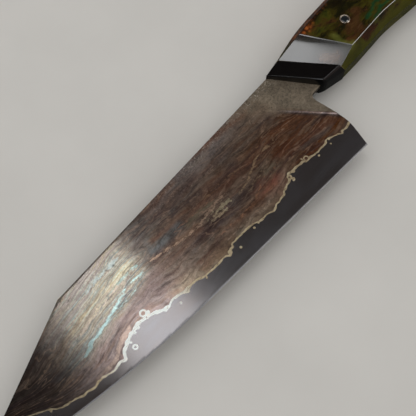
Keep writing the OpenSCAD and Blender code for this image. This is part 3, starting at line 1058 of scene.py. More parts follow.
def layer_pattern(m, c, layers, ground, tip):
    """Streaks, contour lines and hair lines that follow the layers."""
    broad = m.noise((0.030, 0.24, 0.3), rough=0.58, distortion=0.4, source=layers)
    mid = m.noise((0.06, 0.36, 0.5), rough=0.55, distortion=0.2, source=layers)
    tone = m.ramp(broad, {0.30: (176, 150, 148), 0.42: (216, 200, 190), 0.50: (250, 246, 240),
                          0.58: (222, 196, 176), 0.68: (190, 164, 156), 0.78: (244, 240, 236)})
    c = m.times(c, tone, ground, amount=0.7)
    c = m.times(c, m.map(mid, over=(0.32, 0.70), to=(0.76, 1.26)), ground, amount=0.75)
    pale = m.noise((0.040, 0.42, 0.6), rough=0.58, distortion=0.2, source=layers)
    c = m.over(c, (150, 130, 114), m.map(pale, over=(0.57, 0.62), to=(0.0, 0.34)), ground)
    dark = m.noise((0.040, 0.38, 1.0), rough=0.60, distortion=0.2, source=layers)
    c = m.over(c, (66, 54, 56), m.map(dark, over=(0.55, 0.62), to=(0.0, 0.50)), ground)
    # the layers' edges show as thin contour lines that wander with the flow
    level = m.noise((0.026, 0.150, 0.2), detail=3, rough=0.50, distortion=0.3, source=layers)
    lines_per_level = 58.0
    wave = m.math("SINE", m.product(level, lines_per_level))
    broken = m.map(m.noise((0.10, 0.25, 0.2), detail=3), over=(0.42, 0.58), to=(0.15, 1.0))
    lit = m.map(wave, over=(0.78, 1.0), to=(0.0, 0.50))
    c = m.over(c, (164, 136, 116), lit, broken, ground)
    shaded = m.map(wave, over=(-0.60, -1.0), to=(0.0, 0.50))
    c = m.over(c, (66, 54, 50), shaded, broken, ground)
    # hair lines of teal, cream and grey near the tip: the layers' pattern, drawn only where the
    # highlight is painted and in its pale colours
    hairs = m.noise((0.022, 0.95, 0.5), detail=6, rough=0.66, distortion=0.5, source=layers)
    lines = m.ramp(hairs, {0.36: (112, 112, 114), 0.41: (140, 168, 168), 0.45: (184, 184, 176),
                           0.49: (172, 164, 136), 0.53: (122, 112, 110), 0.57: (176, 170, 162),
                           0.61: (150, 138, 134), 0.66: (132, 156, 156)})
    c = m.over(c, lines, tip, amount=0.64)
    thin = m.noise((0.035, 1.5, 1.0), rough=0.66, distortion=0.3, source=layers)
    return m.over(c, (88, 84, 84), m.map(thin, over=(0.56, 0.60), to=(0.0, 0.56)), tip)


def vein_pattern(m, c, layers):
    """Crisp veins with a ragged rim and a dark seam round them."""
    ragged = m.noise((0.38, 0.95, 1.0), detail=5, rough=0.74, distortion=0.3, source=layers)
    depth = m.math("ADD", m.map(m.attr("vein", "Alpha"), to=(-2.0, 2.0)),
                   m.map(ragged, over=(0.32, 0.68), to=(-0.62, 0.62)))
    grain = m.noise((0.5, 1.0, 0.8), rough=0.7, source=layers)
    vein = m.times(m.attr("vein", "Color"), m.map(grain, over=(0.34, 0.66), to=(0.72, 1.28)),
                   amount=0.8)
    c = m.over(c, vein, m.map(depth, over=(-0.12, 0.26)))
    return m.over(c, (60, 50, 48), m.map(depth, over=(-0.55, -0.20), to=(0.0, 0.35)),
                  m.map(depth, over=(-0.20, 0.0), to=(1.0, 0.0)))


def cladding_material():
    m = Material("cladding_steel_pattern")
    neck = m.attr("matte")
    ground = m.math("SUBTRACT", 1.0, neck)
    # the streaked zone of the tip third, where a highlight is painted
    tip = m.attr("bright")
    # the flow is ruffled a little, so that no streak has a ruled edge
    ruffle = m.noise((0.20, 0.34, 0.3), detail=3, rough=0.5, out="Color")
    layers = m.warped(m.attr("flow", "Vector"), by=ruffle, amount=(2.0, 1.1, 1.0))
    c = layer_pattern(m, m.attr("tint", "Color"), layers, ground, tip)
    c = vein_pattern(m, c, layers)
    # rounded mottling, as forging scale leaves under an etch
    fine = m.noise((1.0, 1.5, 1.2), rough=0.7)
    blot = m.noise((0.46, 0.56, 0.5), detail=5, rough=0.72)
    c = m.times(c, m.map(blot, over=(0.36, 0.66), to=(0.74, 1.26)), ground, amount=0.70)
    c = m.times(c, m.map(fine, over=(0.30, 0.70), to=(0.84, 1.18)), ground, amount=0.35)
    etch = m.map(m.voronoi(1.25), over=(0.12, 0.24), to=(0.55, 0.0))
    c = m.over(c, (56, 46, 44), etch, ground)
    # specks of scale and small pits, strongest on the unground neck
    speck = m.noise(0.9, detail=5, rough=0.78)
    c = m.times(c, m.map(speck, over=(0.36, 0.66), to=(0.55, 1.45)), m.map(neck, to=(0.35, 0.8)))
    cloud = m.noise(0.16)
    c = m.times(c, m.map(cloud, over=(0.34, 0.66), to=(0.64, 1.34)), neck, amount=0.8)
    pits = m.map(m.voronoi(0.62), over=(0.10, 0.20), to=(0.7, 0.0))
    c = m.over(c, (60, 54, 50), pits, m.map(neck, to=(0.35, 0.8)))
    # pale flecks that the scale leaves along the spine
    flecks = m.map(m.noise((0.8, 1.2, 0.9), rough=0.8), over=(0.54, 0.61), to=(0.0, 0.6))
    c = m.over(c, (206, 196, 182), flecks, m.product(neck, m.attr("rimmed")))
    # painted shade darkens the last third of the angled tip, and a painted highlight lightens the
    # streaked zone of the tip third; x is in metres
    x = m.split(m.coord)["X"]
    c = m.times(c, m.map(x, over=(0.181, 0.203), to=(1.0, 0.52)))
    c = m.times(c, (1.36, 1.36, 1.32), tip, m.map(x, over=(0.148, 0.178), to=(1.0, 0.0)))
    rough = m.math("ADD", m.map(neck, to=(0.19, 0.60)),
                   m.map(blot, over=(0.3, 0.7), to=(-0.03, 0.06)))
    fine_share, blot_share = 0.35, 0.5
    polished = m.math("ADD", m.product(fine, fine_share), m.product(blot, blot_share))
    scale = m.product(m.math("SUBTRACT", speck, pits), m.map(neck, to=(0.25, 1.8)))
    height = m.math("ADD", m.product(polished, ground), scale)
    return m.finish(Base_Color=c, Roughness=rough, IOR=1.2,
                    Metallic=m.product(m.attr("gloss"), m.map(neck, to=(1.0, 0.75))),
                    Normal=m.bump(height, strength=0.4, depth=0.03))


def core_material():
    m = Material("core_steel_dark")
    haze = m.noise((0.03, 0.10, 0.1), rough=0.5)
    hair = m.noise((0.08, 4.0, 1.0), rough=0.7)
    c = m.ramp(haze, {0.3: (120, 114, 112), 0.5: (122, 119, 120), 0.7: (128, 128, 132)})
    c = m.times(c, m.map(hair, over=(0.3, 0.7), to=(0.86, 1.10)), amount=0.35)
    rough = m.math("ADD", m.map(haze, over=(0.3, 0.7), to=(0.12, 0.17)),
                   m.map(hair, over=(0.3, 0.7), to=(-0.015, 0.025)))
    return m.finish(Base_Color=c, Metallic=0.88, Roughness=rough,
                    Normal=m.bump(hair, strength=0.15, depth=0.01))


def honed_material():
    m = Material("core_steel_honed_edge")
    hair = m.noise((3.0, 0.6, 1.0), detail=3)
    return m.finish(Base_Color=m.ramp(hair, {0.3: (122, 121, 122), 0.7: (150, 149, 152)}),
                    Metallic=0.55, Roughness=m.map(hair, over=(0.3, 0.7), to=(0.34, 0.48)),
                    Normal=m.bump(hair, strength=0.3, depth=0.01))


def shim_material():
    """Warm metal with a painted highlight that turns it pale and cool on the bright third, and painted
    shade that darkens it towards the tip. x is in metres.
    """
    m = Material("shim_metal_bright")
    n = m.noise((0.5, 1.2, 0.5))
    x = m.split(m.coord)["X"]
    # painted highlight: pale and cool on the bright third
    cool = m.product(m.map(x, over=(0.138, 0.150)), m.map(x, over=(0.176, 0.190), to=(1.0, 0.0)))
    warm = m.ramp(n, {0.3: (150, 132, 104), 0.55: (188, 172, 140), 0.75: (210, 198, 168)})
    pale = m.ramp(n, {0.3: (226, 222, 212), 0.5: (240, 248, 246), 0.7: (252, 246, 236)})
    c = m.over(warm, pale, cool)
    # painted shade towards the tip
    c = m.times(c, m.map(x, over=(0.190, 0.206), to=(1.0, 0.62)))
    return m.finish(Base_Color=c, Metallic=0.35,
                    Roughness=m.map(n, over=(0.3, 0.7), to=(0.24, 0.36)),
                    Normal=m.bump(m.noise(2.2), strength=0.5, depth=0.02))


# ---------------------------------------------------------------- blade: solids

forge_noise, hammer_noise = Noise(3), Noise(4)
flat_x, flat_y = flat_verts.T
half = half_thickness(flat_verts)
relief = 0.010 * forge_noise(flat_x / 2.3, flat_y / 2.3, 2) \
    + 0.012 * hammer_noise(flat_x / 6.0, flat_y / 6.0, 2)
grain = 0.0035 * forge_noise(flat_x / 14 + 40, (flat_y - flow_y(flat_verts, left)) / 1.4, 2)
textured = (edge_distance(flat_verts) > 3) & (eased_distance(flat_verts) > 0.6) \
    & (flat_x > FRONT_X + 1.5)
texture = np.where(plunge_distance(flat_verts) < 0.3, relief, grain)
surface = np.minimum(half + np.where(textured, texture, 0), HALF_PLATE)
ground = np.minimum(half, HALF_PLATE)
core_top = np.maximum(np.minimum(HALF_CORE, half - 0.16), np.minimum(0.015, half * 0.5))
shim_top = core_top + SHIM

labels_left, labels_right = regions(left), regions(right)
clad_mat, core_mat, honed_mat, shim_mat = \
    cladding_material(), core_material(), honed_material(), shim_material()


def build_core():
    top = {CLADDING: core_top, BARE_SHIM: core_top, BARE_CORE: ground}
    honed = (edge_distance(centres) < HONED) & (centres[:, 0] > BACK_X - 2)
    core = slab("blade_core_ground", np.ones(len(tris), bool), (labels_left, labels_right),
                top, {k: -v for k, v in top.items()}, [core_mat, honed_mat],
                material_of=honed, smooth=9)
    stand_in(core, "blade_core", "core_steel")
    return core


def build_side(side, labels, sign, paint):
    """Shim and cladding of one face."""
    def facing(outer, inner):
        """The outer and inner heights as top and bottom, mirrored on the right face."""
        if sign > 0:
            return outer, inner
        return [{k: -v for k, v in heights.items()} for heights in (inner, outer)]

    both = (labels, labels)
    shim = slab("shim_strip_" + side, labels < BARE_CORE, both,
                *facing({CLADDING: shim_top, BARE_SHIM: ground + 0.02},
                        {CLADDING: core_top, BARE_SHIM: core_top}), [shim_mat])
    cladding = slab("cladding_ground_" + side, labels == CLADDING, both,
                    *facing({CLADDING: surface}, {CLADDING: shim_top}), [clad_mat], paint)
    stand_in(shim, "shim_" + side, "shim_metal")
    stand_in(cladding, "cladding_" + side, "cladding_steel")
    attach(shim, "root")
    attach(cladding, "root")


core = build_core()
build_side("left", labels_left, 1,
           lambda p: paint_cladding(p, left, flow_seed=1.0, tint_seed=1.0, veined=True))
build_side("right", labels_right, -1,
           lambda p: paint_cladding(p, right, flow_seed=2.0, tint_seed=5.0, veined=False))
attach(core, "root")


# ---------------------------------------------------------------- shared by block and bolster

FLAT = box_mm("handle_block")[1][2] / 2    # half thickness at the flats
SIDE = 3.5                                 # half height of the narrow sides
FLANK_TAN = math.tan(math.radians(60))
FLANK_WIDTH = (FLAT - SIDE) / FLANK_TAN    # of the slanted flanks, along y
# the plane of the ramp at the front of the block: z at the origin, slope in x, slope in y
RAMP = (14.353, -0.3272, -0.1522)


def eased_octagon(lower, ease, share=math.inf):
    """A loop of four lower corners and their mirror images above, eased with three points
    each. share limits the ease to a part of the sides beside it."""
    corners = [np.array(p, float) for p in lower]
    corners += [p * (1, 1, -1) for p in corners[::-1]]
    loop = []
    for i, corner in enumerate(corners):
        back, ahead = corners[i - 1] - corner, corners[(i + 1) % 8] - corner
        back_length, ahead_length = np.linalg.norm(back), np.linalg.norm(ahead)
        back, ahead = back / back_length, ahead / ahead_length
        e = min(ease, share * back_length, share * ahead_length)
        loop += [corner + back * e, corner + (back + ahead) * e * 0.27, corner + ahead * e]
    return loop


def loft(rows, flip):
    """Skin over rows of equal loops, with both ends capped. flip turns the faces over."""
    rows = np.array(rows)
    row_count, n = rows.shape[:2]
    faces = []
    for r in range(row_count - 1):
        for c in range(n):
            a, b = r * n + c, r * n + (c + 1) % n
            faces.append([a, a + n, b + n, b] if flip else [a, b, b + n, a + n])
    first = list(range(n))
    last = [(row_count - 1) * n + c for c in range(n)]
    faces += [first, last[::-1]] if flip else [first[::-1], last]
    return rows.reshape(-1, 3) + [0, 0, MID_Z], faces


def cutter(name, verts, faces):
    return link(name, new_mesh(name, np.asarray(verts, float) * MM, faces))


def prism_cutter(name, polygon, low, high):
    k = len(polygon)
    verts = [(x, y, z) for z in (low, high) for x, y in polygon]
    faces = [list(range(k))[::-1], list(range(k, 2 * k))]
    faces += [[i, (i + 1) % k, k + (i + 1) % k, k + i] for i in range(k)]
    return cutter(name, verts, faces)


def slot_cutter(gap):
    """The tang with a gap all round."""
    upper = TANG + [0, gap]
    upper[0, 0] -= gap
    lower = upper * [1, -1]
    return prism_cutter("slot_cutter", [*lower[1::-1], *upper, lower[2]],
                        MID_Z - HALF_PLATE - gap, MID_Z + HALF_PLATE + gap)


def facet_cutter(sign):
    """Everything outside the ramp of one side, as a block with a curved face."""
    downhill = -np.array(RAMP[1:]) / math.hypot(*RAMP[1:])
    across = np.array([-downhill[1], downhill[0]])
    origin = np.array([12.0, 0.0])

    def plane_z(q):
        return RAMP[0] + RAMP[1] * q[0] + RAMP[2] * q[1]

    def lip(y):
        """How far the ramp bulges above its plane along the upper line."""
        return 0.30 - 0.20 * float(rise(-7, 9, y))

    # rows run along the upper line, one of them exactly on it
    downs = [-12, -9, -6.5, -4.5, -3, -2, -1.2, -0.5, 0, 0.22, 0.42, 0.62, 0.85, 1.2, 1.6, 2.1,
             2.7, 3.4, 4.2, 5.2, 6.6, 8.6, 11.5, 14.5, 18, 22, 27, 32]
    sideways = np.arange(-26, 27, 1.3)
    upper_line = []
    for w in sideways:
        low, high = -20.0, 20.0
        for _ in range(60):
            middle = (low + high) / 2
            q = origin + across * w + downhill * middle
            if plane_z(q) + lip(q[1]) > FLAT:
                low = middle
            else:
                high = middle
        upper_line.append(low)
    verts = []
    for down in downs:
        for w, start in zip(sideways, upper_line):
            q = origin + across * w + downhill * (start + down)
            z = plane_z(q) + lip(q[1]) * math.exp(-max(down - 0.42, 0) / 2.0)
            if down == 0:
                z = FLAT
            verts.append((q[0], q[1], MID_Z + sign * z))
    n = len(verts)
    verts += [(x, y, MID_Z + sign * 30.0) for x, y, _ in verts]
    k, rows = len(sideways), len(downs)
    faces = []
    for i in range(rows - 1):
        for j in range(k - 1):
            a, b = i * k + j, (i + 1) * k + j
            c, d = b + 1, a + 1
            faces += [[a, d, c], [a, c, b], [n + a, n + b, n + c, n + d]]
    rim = [i * k for i in range(rows)] + [(rows - 1) * k + j for j in range(1, k)] \
        + [i * k + k - 1 for i in range(rows - 2, -1, -1)] + list(range(k - 2, 0, -1))
    faces += [[a, b, n + b, n + a] for a, b in zip(rim, rim[1:] + rim[:1])]
    ob = cutter("facet_cutter", verts, faces)
    turn_outwards(ob)
    return ob


def carve(ob, cutters, smooth):
    """Cuts the cutters out of a piece and removes them."""
    for tool in cutters:
        cut = ob.modifiers.new("cut", "BOOLEAN")
        cut.operation = "DIFFERENCE"
        cut.solver = "EXACT"
        cut.object = tool
    graph = bpy.context.evaluated_depsgraph_get()
    mesh = bpy.data.meshes.new_from_object(ob.evaluated_get(graph), preserve_all_data_layers=True,
                                           depsgraph=graph)
    ob.modifiers.clear()
    ob.data = mesh
    shade(mesh, smooth)
    for tool in cutters:
        bpy.data.objects.remove(tool)


# ---------------------------------------------------------------- handle block

def handle_material():
    """Stabilised burl: knots and brown figure that melt into green resin."""
    m = Material("handle_burl_resin")
    position = m.scaled(1)
    warp = m.noise((0.05, 0.07, 0.07), detail=3, out="Color")
    w = m.warped(position, by=warp, amount=(9, 9, 9))
    x, y, _ = m.split(position)
    figure = m.noise((0.060, 0.15, 0.13), detail=7, rough=0.64, distortion=1.4, source=w)
    cloud = m.noise((0.045, 0.065, 0.06), rough=0.55, distortion=0.6, source=w)
    resin = m.noise((0.045, 0.12, 0.10), detail=6, rough=0.62, distortion=0.8, source=w)
    green = m.ramp(resin, {0.28: (12, 16, 4), 0.40: (34, 32, 5), 0.48: (64, 56, 9),
                           0.55: (78, 76, 16), 0.63: (36, 48, 12), 0.74: (16, 46, 22)})
    wood = m.ramp(figure, {0.28: (20, 10, 5), 0.42: (56, 30, 10), 0.52: (90, 58, 26),
                           0.62: (44, 24, 10), 0.74: (104, 74, 40)})
    # eyes of the burl: small rings packed together
    eyes = m.ramp(m.voronoi(0.46, source=w), {0.0: (40, 14, 6), 0.12: (222, 128, 58),
                                              0.34: (176, 88, 36), 0.58: (96, 42, 14),
                                              0.9: (22, 10, 5)})
    # where each kind of figure lies
    ragged_y = m.math("ADD", y, m.map(cloud, over=(0.3, 0.7), to=(-3.5, 3.5)))
    spine_side = m.map(ragged_y, over=(-13.0, -9.5), to=(1.0, 0.0))
    cloud_share = 0.9
    woody = m.map(m.math("ADD", figure, m.product(cloud, cloud_share)), over=(0.94, 1.10))
    c = m.over(green, wood, woody)
    packed = m.map(m.noise((0.07, 0.13, 0.13), detail=3, rough=0.5, source=w), over=(0.52, 0.62))
    burl = m.product(m.attr("burl"), m.map(packed, to=(0.75, 1.0)))
    c = m.over(c, eyes, m.math("MAXIMUM", burl, m.product(spine_side, packed)))
    # painted patches: attribute, opacity, colour
    for name, amount, colour in (
            ("dark", 0.8, (18, 14, 5)),
            ("brown", 0.8, m.ramp(figure, {0.3: (44, 22, 10), 0.45: (96, 64, 36),
                                           0.55: (72, 40, 18), 0.7: (112, 84, 56)})),
            ("gold", 0.85, m.ramp(cloud, {0.3: (112, 98, 8), 0.5: (84, 82, 10),
                                          0.7: (62, 68, 14)})),
            ("lime", 0.8, m.ramp(figure, {0.3: (80, 84, 26), 0.6: (126, 128, 58)})),
            ("teal", 0.8, (10, 78, 44)),
            ("rust", 0.9, m.ramp(figure, {0.35: (34, 14, 6), 0.65: (84, 40, 14)}))):
        c = m.over(c, colour, m.attr(name), amount=amount)
    fibre = m.noise((0.25, 1.8, 1.6), rough=0.7, source=w)
    c = m.times(c, m.map(fibre, over=(0.3, 0.7), to=(0.55, 1.45)), amount=0.55)
    c = m.times(c, (0.74, 0.74, 0.70))
    # the ramp, known by its tilt, is polished to a higher lustre than the rest
    tilt = m.math("ABSOLUTE", m.split(m.node("NewGeometry")["True Normal"])["Z"])
    ramp_face = m.product(m.map(tilt, over=(0.80, 0.86)),
                          m.map(tilt, over=(0.975, 0.985), to=(1.0, 0.0)))
    # painted shade: the ramp's wood is darkened to near black, so that its mirrored light stands out
    # against a dark face
    c = m.over(c, (14, 12, 8), ramp_face, amount=0.85)
    tan = m.ramp(fibre, {0.35: (120, 74, 48), 0.65: (176, 128, 96)})
    c = m.over(c, tan, m.attr("tan"), amount=0.75)
    # the raw end grain along the joint with the bolster
    cos, sin = math.cos(SLANT), math.sin(SLANT)
    forward = m.math("ADD", m.product(x, cos), m.product(y, sin))
    behind_joint = m.math("SUBTRACT", JOINT_X * cos + SPINE_Y * sin, forward)
    rim = m.map(behind_joint, over=(0.10, 0.40), to=(1.0, 0.0))
    c = m.over(c, (112, 98, 78), rim, amount=0.6)
    rim_dulling = 0.8
    polish = m.math("SUBTRACT", 1.0, m.product(rim, rim_dulling))
    return m.finish(
        Base_Color=c, Roughness=m.map(fibre, over=(0.3, 0.7), to=(0.16, 0.22)),
        IOR=m.map(ramp_face, to=(1.30, 1.5)),
        Normal=m.bump(fibre, strength=0.02, depth=0.02, normal=m.bevel(radius=0.22)),
        Coat_Weight=m.product(polish, m.map(ramp_face, to=(0.6, 1.0))), Coat_Roughness=0.03,
        Coat_IOR=m.map(ramp_face, to=(1.42, 1.74)), Subsurface_Weight=0.04,
        Subsurface_Radius=(0.002, 0.0015, 0.0006), Subsurface_Scale=0.5)


# x, y of the spine side, y of the belly side
STATIONS = np.array([
    [40, -10.64, 12.6], [34, -11.75, 13.05], [26, -13.15, 13.75], [18, -14.45, 14.2],
    [8, -15.15, 14.55], [-4, -15.35, 14.45], [-14, -15.42, 14.45], [-24, -15.6, 15.4],
    [-34, -15.85, 16.6], [-48, -16.05, 17.7], [-62, -16.08, 18.15], [-78, -15.6, 18.1],
    [-90, -14.8, 17.6]])
SPINE_SIDE, BELLY_SIDE = catmull(STATIONS[:, [0, 1]], 1.0), catmull(STATIONS[:, [0, 2]], 1.0)
# points along each of the eight sides of a section
SIDE_COUNTS = [5, 22, 5, 8, 5, 22, 5, 8]
# x, inset of the chamfered rear end
REAR = [(-87.4, 0.35), (-88.6, 1.5), (-89.8, 2.8), (-90.0, 3.3)]


def section(x, inset_by):
    """One loop of the block. Its plane slants with the joint and straightens to the rear."""
    lean = SLANT_TAN * float(rise(-30, 8, x))

    def corner(side, offset, z):
        def side_y(at_x):
            return float(np.interp(-at_x, -side[:, 0], side[:, 1]))

        y = side_y(x)
        for _ in range(4):
            y = side_y(x - (y - SPINE_Y) * lean) + offset
        return x - (y - SPINE_Y) * lean, y, z

    shoulder = FLANK_WIDTH + inset_by * 0.4
    loop = eased_octagon([corner(SPINE_SIDE, inset_by, -SIDE),
                          corner(SPINE_SIDE, shoulder, inset_by - FLAT),
                          corner(BELLY_SIDE, -shoulder, inset_by - FLAT),
                          corner(BELLY_SIDE, -inset_by, -SIDE)], ease=0.28)
    # extra points along the sides carry the painted figure and the bends
    points = []
    for i, a in enumerate(loop):
        points.append(a)
        if i % 3 == 2:
            b, count = loop[(i + 1) % len(loop)], SIDE_COUNTS[i // 3]
            points += [a + (b - a) * j / count for j in range(1, count)]
    return points


# Patches of figure: only on the flats or not, and (x, y path, width) of each.
PATCHES = {
    "teal": (False, [([(-8, 6.5), (-12, 5.6), (-19, 5.2)], 0.9),
                     ([(-11, 9.4), (-20, 8.8), (-34, 9)], 0.8),
                     ([(-44, -2), (-60, 3), (-78, -1)], 2.0)]),
    "brown": (True, [([(3, 5), (-1, 3.8), (1, 8.4), (-6, 1)], 2.3), ([(-30, -4), (-44, 6)], 3.5)]),
    "dark": (True, [([(-5, -7.5), (2, -11.5), (8, -11)], 2.2), ([(-16, -3), (-26, -8)], 3.0),
                    ([(-52, 8), (-66, -6)], 4.0)]),
    "gold": (False, [([(24, 11.5), (14, 13.2), (6, 13.8), (-4, 14.2), (-16, 14.4), (-40, 17),
                       (-60, 17.5)], 2.1)]),
    "lime": (True, [([(11.5, 3), (11, 7.5), (12.5, 10.2), (9, 10.6)], 2.0)]),
    "burl": (False, [([(-9, -15.2), (1.5, -14.4), (4.7, -13.6), (10.3, -12), (15.3, -11.4),
                       (20, -11.6)], 2.9)]),
    "rust": (False, [([(2, 11.4), (-3, 11.9), (-7, 11.6)], 1.1), ([(-34, 14), (-42, 15)], 1.6)]),
}


def paint_handle(mesh):
    """Where the kinds of figure lie, for each vertex of the finished block."""
    verts = np.empty(len(mesh.vertices) * 3)
    mesh.vertices.foreach_get("co", verts)
    x, y, z = (verts.reshape(-1, 3) / MM).T
    noise = Noise(71)
    p = np.stack([x + 1.8 * noise(x / 5, y / 4 + z), y + 1.2 * noise(x / 4 + 30, y / 4)], 1)
    on_flats = rise(FLAT - 2.6, FLAT - 0.4, np.abs(z - MID_Z))
    for name, (flats_only, patches) in PATCHES.items():
        mask = sum(fall(width * 0.5, width * 1.4, distance(p, path)) for path, width in patches)
        if flats_only:
            mask = mask * on_flats
        add_attribute(mesh, name, np.clip(mask, 0, 1))
    add_attribute(mesh, "tan", 0.42 * fall(0.0, 3.8, distance(p, [(21.4, 4.0), (18.6, 8.8)])))


def build_handle():
    xs = [JOINT_X, JOINT_X - 0.25, *np.arange(JOINT_X - 1.2, -20, -1.0),
          *np.arange(-20, -86.5, -1.8), -86.8]
    rows = [section(x, inset_by) for x, inset_by in [(x, 0.0) for x in xs] + REAR]
    handle = add_mesh("handle_block_shaped", *loft(rows, flip=False), [handle_material()], 12)
    turn_outwards(handle)
    bore_cutter_args = ("bore_cutter", pin_circle(64), -2, 2 * MID_Z + 2)
    carve(handle, [facet_cutter(1), facet_cutter(-1), slot_cutter(0.5),
                   prism_cutter(*bore_cutter_args)], 12)
    paint_handle(handle.data)
    turn_outwards(handle)
    stand_in(handle, "handle_block", "handle_burl")
    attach(handle, "root")


build_handle()


# ---------------------------------------------------------------- bolster

def bolster_material():
    m = Material("bolster_gloss_black")
    hair = m.noise((0.4, 5.0, 5.0), detail=3)
    return m.finish(Base_Color=m.ramp(m.noise(0.12, detail=5), {0.35: (2, 2, 3), 0.65: (8, 8, 8)}),
                    Roughness=m.map(hair, over=(0.3, 0.7), to=(0.07, 0.12)), IOR=1.5,
                    Normal=m.bump(hair, strength=0.03, depth=0.01, normal=m.bevel(radius=0.20)),
                    Coat_Weight=0.5, Coat_Roughness=0.04)


BOLSTER_X = (8, 45)                 # where the two side lines below are given
BOLSTER_SPINE = (-15.3, -10.28)
BOLSTER_BELLY = (16.92, 8.05)
BOLSTER_ROWS = 14


def bolster_section(x):
    """An eased octagon in the slanted plane that meets the spine line at x."""
    def side_point(start_y, side, offset=0.0):
        y = start_y
        for _ in range(6):
            at_x = x - (y - SPINE_Y) * SLANT_TAN
            y = np.interp(at_x, BOLSTER_X, side) + offset
        return at_x, y

    def top_z(at_x):
        return 3.35 + 0.163 * (FRONT_X - at_x)

    halves = []
    for start_y, side, inwards in ((SPINE_Y, BOLSTER_SPINE, 1), (12.0, BOLSTER_BELLY, -1)):
        outer = side_point(start_y, side)
        z = min(top_z(outer[0]), FLAT)
        inner = side_point(start_y, side, inwards * max(z - SIDE, 0.02) / FLANK_TAN)
        halves.append([(*outer, -min(SIDE, z)), (*inner, -top_z(inner[0]))])
    return eased_octagon(halves[0] + halves[1][::-1], ease=0.22, share=0.3)


def build_bolster():
    """The slanted bolster, thinner in front, with a chamfer round its front face."""
    rows = [np.array(bolster_section(JOINT_X + (FRONT_X - JOINT_X) * i / BOLSTER_ROWS))
            for i in range(BOLSTER_ROWS + 1)]
    front = rows.pop()
    centre = front.mean(0)
    outwards = np.array([math.cos(SLANT), math.sin(SLANT), 0])
    across = np.array([-math.sin(SLANT), math.cos(SLANT), 0])
    along = (front - centre) @ across
    z = (front - centre)[:, 2]
    for shrink, setback in ((0.0, 0.42), (0.06, 0.24), (0.20, 0.07), (0.42, 0.0)):
        narrower = 1 - shrink / max(abs(along).max(), 1e-6)
        lower = np.where(abs(z) > 0.5, 1 - shrink / np.maximum(abs(z), 1.6), 1.0)
        rows.append(centre + np.outer(along * narrower, across) + np.outer(z * lower, [0, 0, 1])
                    - outwards * setback)
    bolster = add_mesh("bolster_polished", *loft(rows, flip=True), [bolster_material()], 20)
    turn_outwards(bolster)
    carve(bolster, [slot_cutter(0.15)], 20)
    stand_in(bolster, "bolster", "bolster_black")
    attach(bolster, "root")


build_bolster()


# ---------------------------------------------------------------- pin and epoxy

def mottled_material(name, scale, colours, rough, bump, bump_depth=0.01, **inputs):
    """A plain material between two colours, with roughness and bump from the same noise."""
    m = Material(name)
    n = m.noise(scale)
    return m.finish(Base_Color=m.ramp(n, {0.3: colours[0], 0.7: colours[1]}),
                    Roughness=m.map(n, over=(0.3, 0.7), to=rough),
                    Normal=m.bump(n, strength=bump, depth=bump_depth), **inputs)


def lathe(name, profile, material, segments=96, smooth=30):
    """A ring or rod round the pin's axis from a closed profile of (radius, z)."""
    k = len(profile)
    angles = [2 * math.pi * s / segments for s in range(segments)]
    verts = [(r * math.cos(a), r * math.sin(a), z) for a in angles for r, z in profile]
    faces = []
    for s in range(segments):
        here, ahead = s * k, (s + 1) % segments * k
        for i in range(k):
            j = (i + 1) % k
            if profile[i][0] < 1e-9 and profile[j][0] < 1e-9:
                continue
            faces.append([here + i, ahead + i, ahead + j, here + j])
    ob = add_mesh(name, verts, faces, [material], smooth)
    turn_outwards(ob, weld=True)
    shade(ob.data, smooth)
    return ob


fill_r = (fill_high[0] - fill_low[0]) / 2
wall_r = (fill_r + PIN_R) / 2
top_z, low_z = tube_high[2], tube_low[2]
tube_profile = [
    (fill_r, top_z - 0.10), (fill_r + 0.05, top_z - 0.02), (fill_r + 0.14, top_z + 0.02),
    (wall_r, top_z + 0.035), (PIN_R - 0.12, top_z + 0.02), (PIN_R - 0.03, top_z - 0.02),
    (PIN_R, top_z - 0.08), (PIN_R, low_z + 0.08), (PIN_R - 0.03, low_z + 0.02),
    (PIN_R - 0.12, low_z), (wall_r, low_z), (fill_r + 0.14, low_z), (fill_r + 0.05, low_z + 0.02),
    (fill_r, low_z + 0.10)]
tube = lathe("pin_tube_turned", tube_profile,
             mottled_material("pin_tube_metal", scale=1.6, rough=(0.22, 0.36), bump=0.15,
                              colours=((190, 176, 158), (224, 214, 200)), Metallic=1.0))
fill_profile = [(r, top_z + 0.015 - 0.34 * (r / fill_r) ** 3.0)
                for r in (0.0, 0.4, 0.75, 1.0, 1.2, 1.38, 1.54, 1.67, 1.78, fill_r)]
fill_profile += [(fill_r, low_z + 0.11), (fill_r - 0.06, low_z + 0.07), (1.55, low_z + 0.1),
                 (0.9, low_z + 0.14), (0.0, low_z + 0.16)]
fill = lathe("pin_core_cast", fill_profile,
             mottled_material("pin_core_resin", scale=0.9, rough=(0.10, 0.2), bump=0.08,
                              colours=((14, 18, 20), (34, 44, 48)),
                              Coat_Weight=1.0, Coat_Roughness=0.03))
for piece, node, slot in ((tube, "pin_tube", "pin_metal"), (fill, "pin_core", "pin_fill")):
    stand_in(piece, node, slot)
    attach(piece, "root")

# the hidden bed of epoxy stays the CAD node
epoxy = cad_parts["tang_epoxy"]
epoxy.data.materials.clear()
epoxy.data.materials.append(
    mottled_material("epoxy_amber", scale=0.6, rough=(0.25, 0.4), bump=0.1, bump_depth=0.05,
                     colours=((128, 106, 60), (176, 150, 92))))


# ---------------------------------------------------------------- floor and world, in metres

def floor_material():
    """Pale, but mirrors see it darker, as if the studio's flags shaded it."""
    m = Material("floor_pale")
    pale = m.ramp(m.noise(0.02, rough=0.5), {0.3: (222, 220, 216), 0.7: (228, 226, 222)})
    glossy = m.node("LightPath")["Is Glossy Ray"]
    return m.finish(Base_Color=m.over(pale, (70, 69, 66), glossy), Roughness=0.9)


def build_floor(half_size=6.0):
    s = half_size
    mesh = new_mesh("studio_floor", [(-s, -s, 0), (s, -s, 0), (s, s, 0), (-s, s, 0)],
                    [[0, 1, 2, 3]], [floor_material()])
    floor = link("studio_floor", mesh)
    floor.location.z = -0.0002


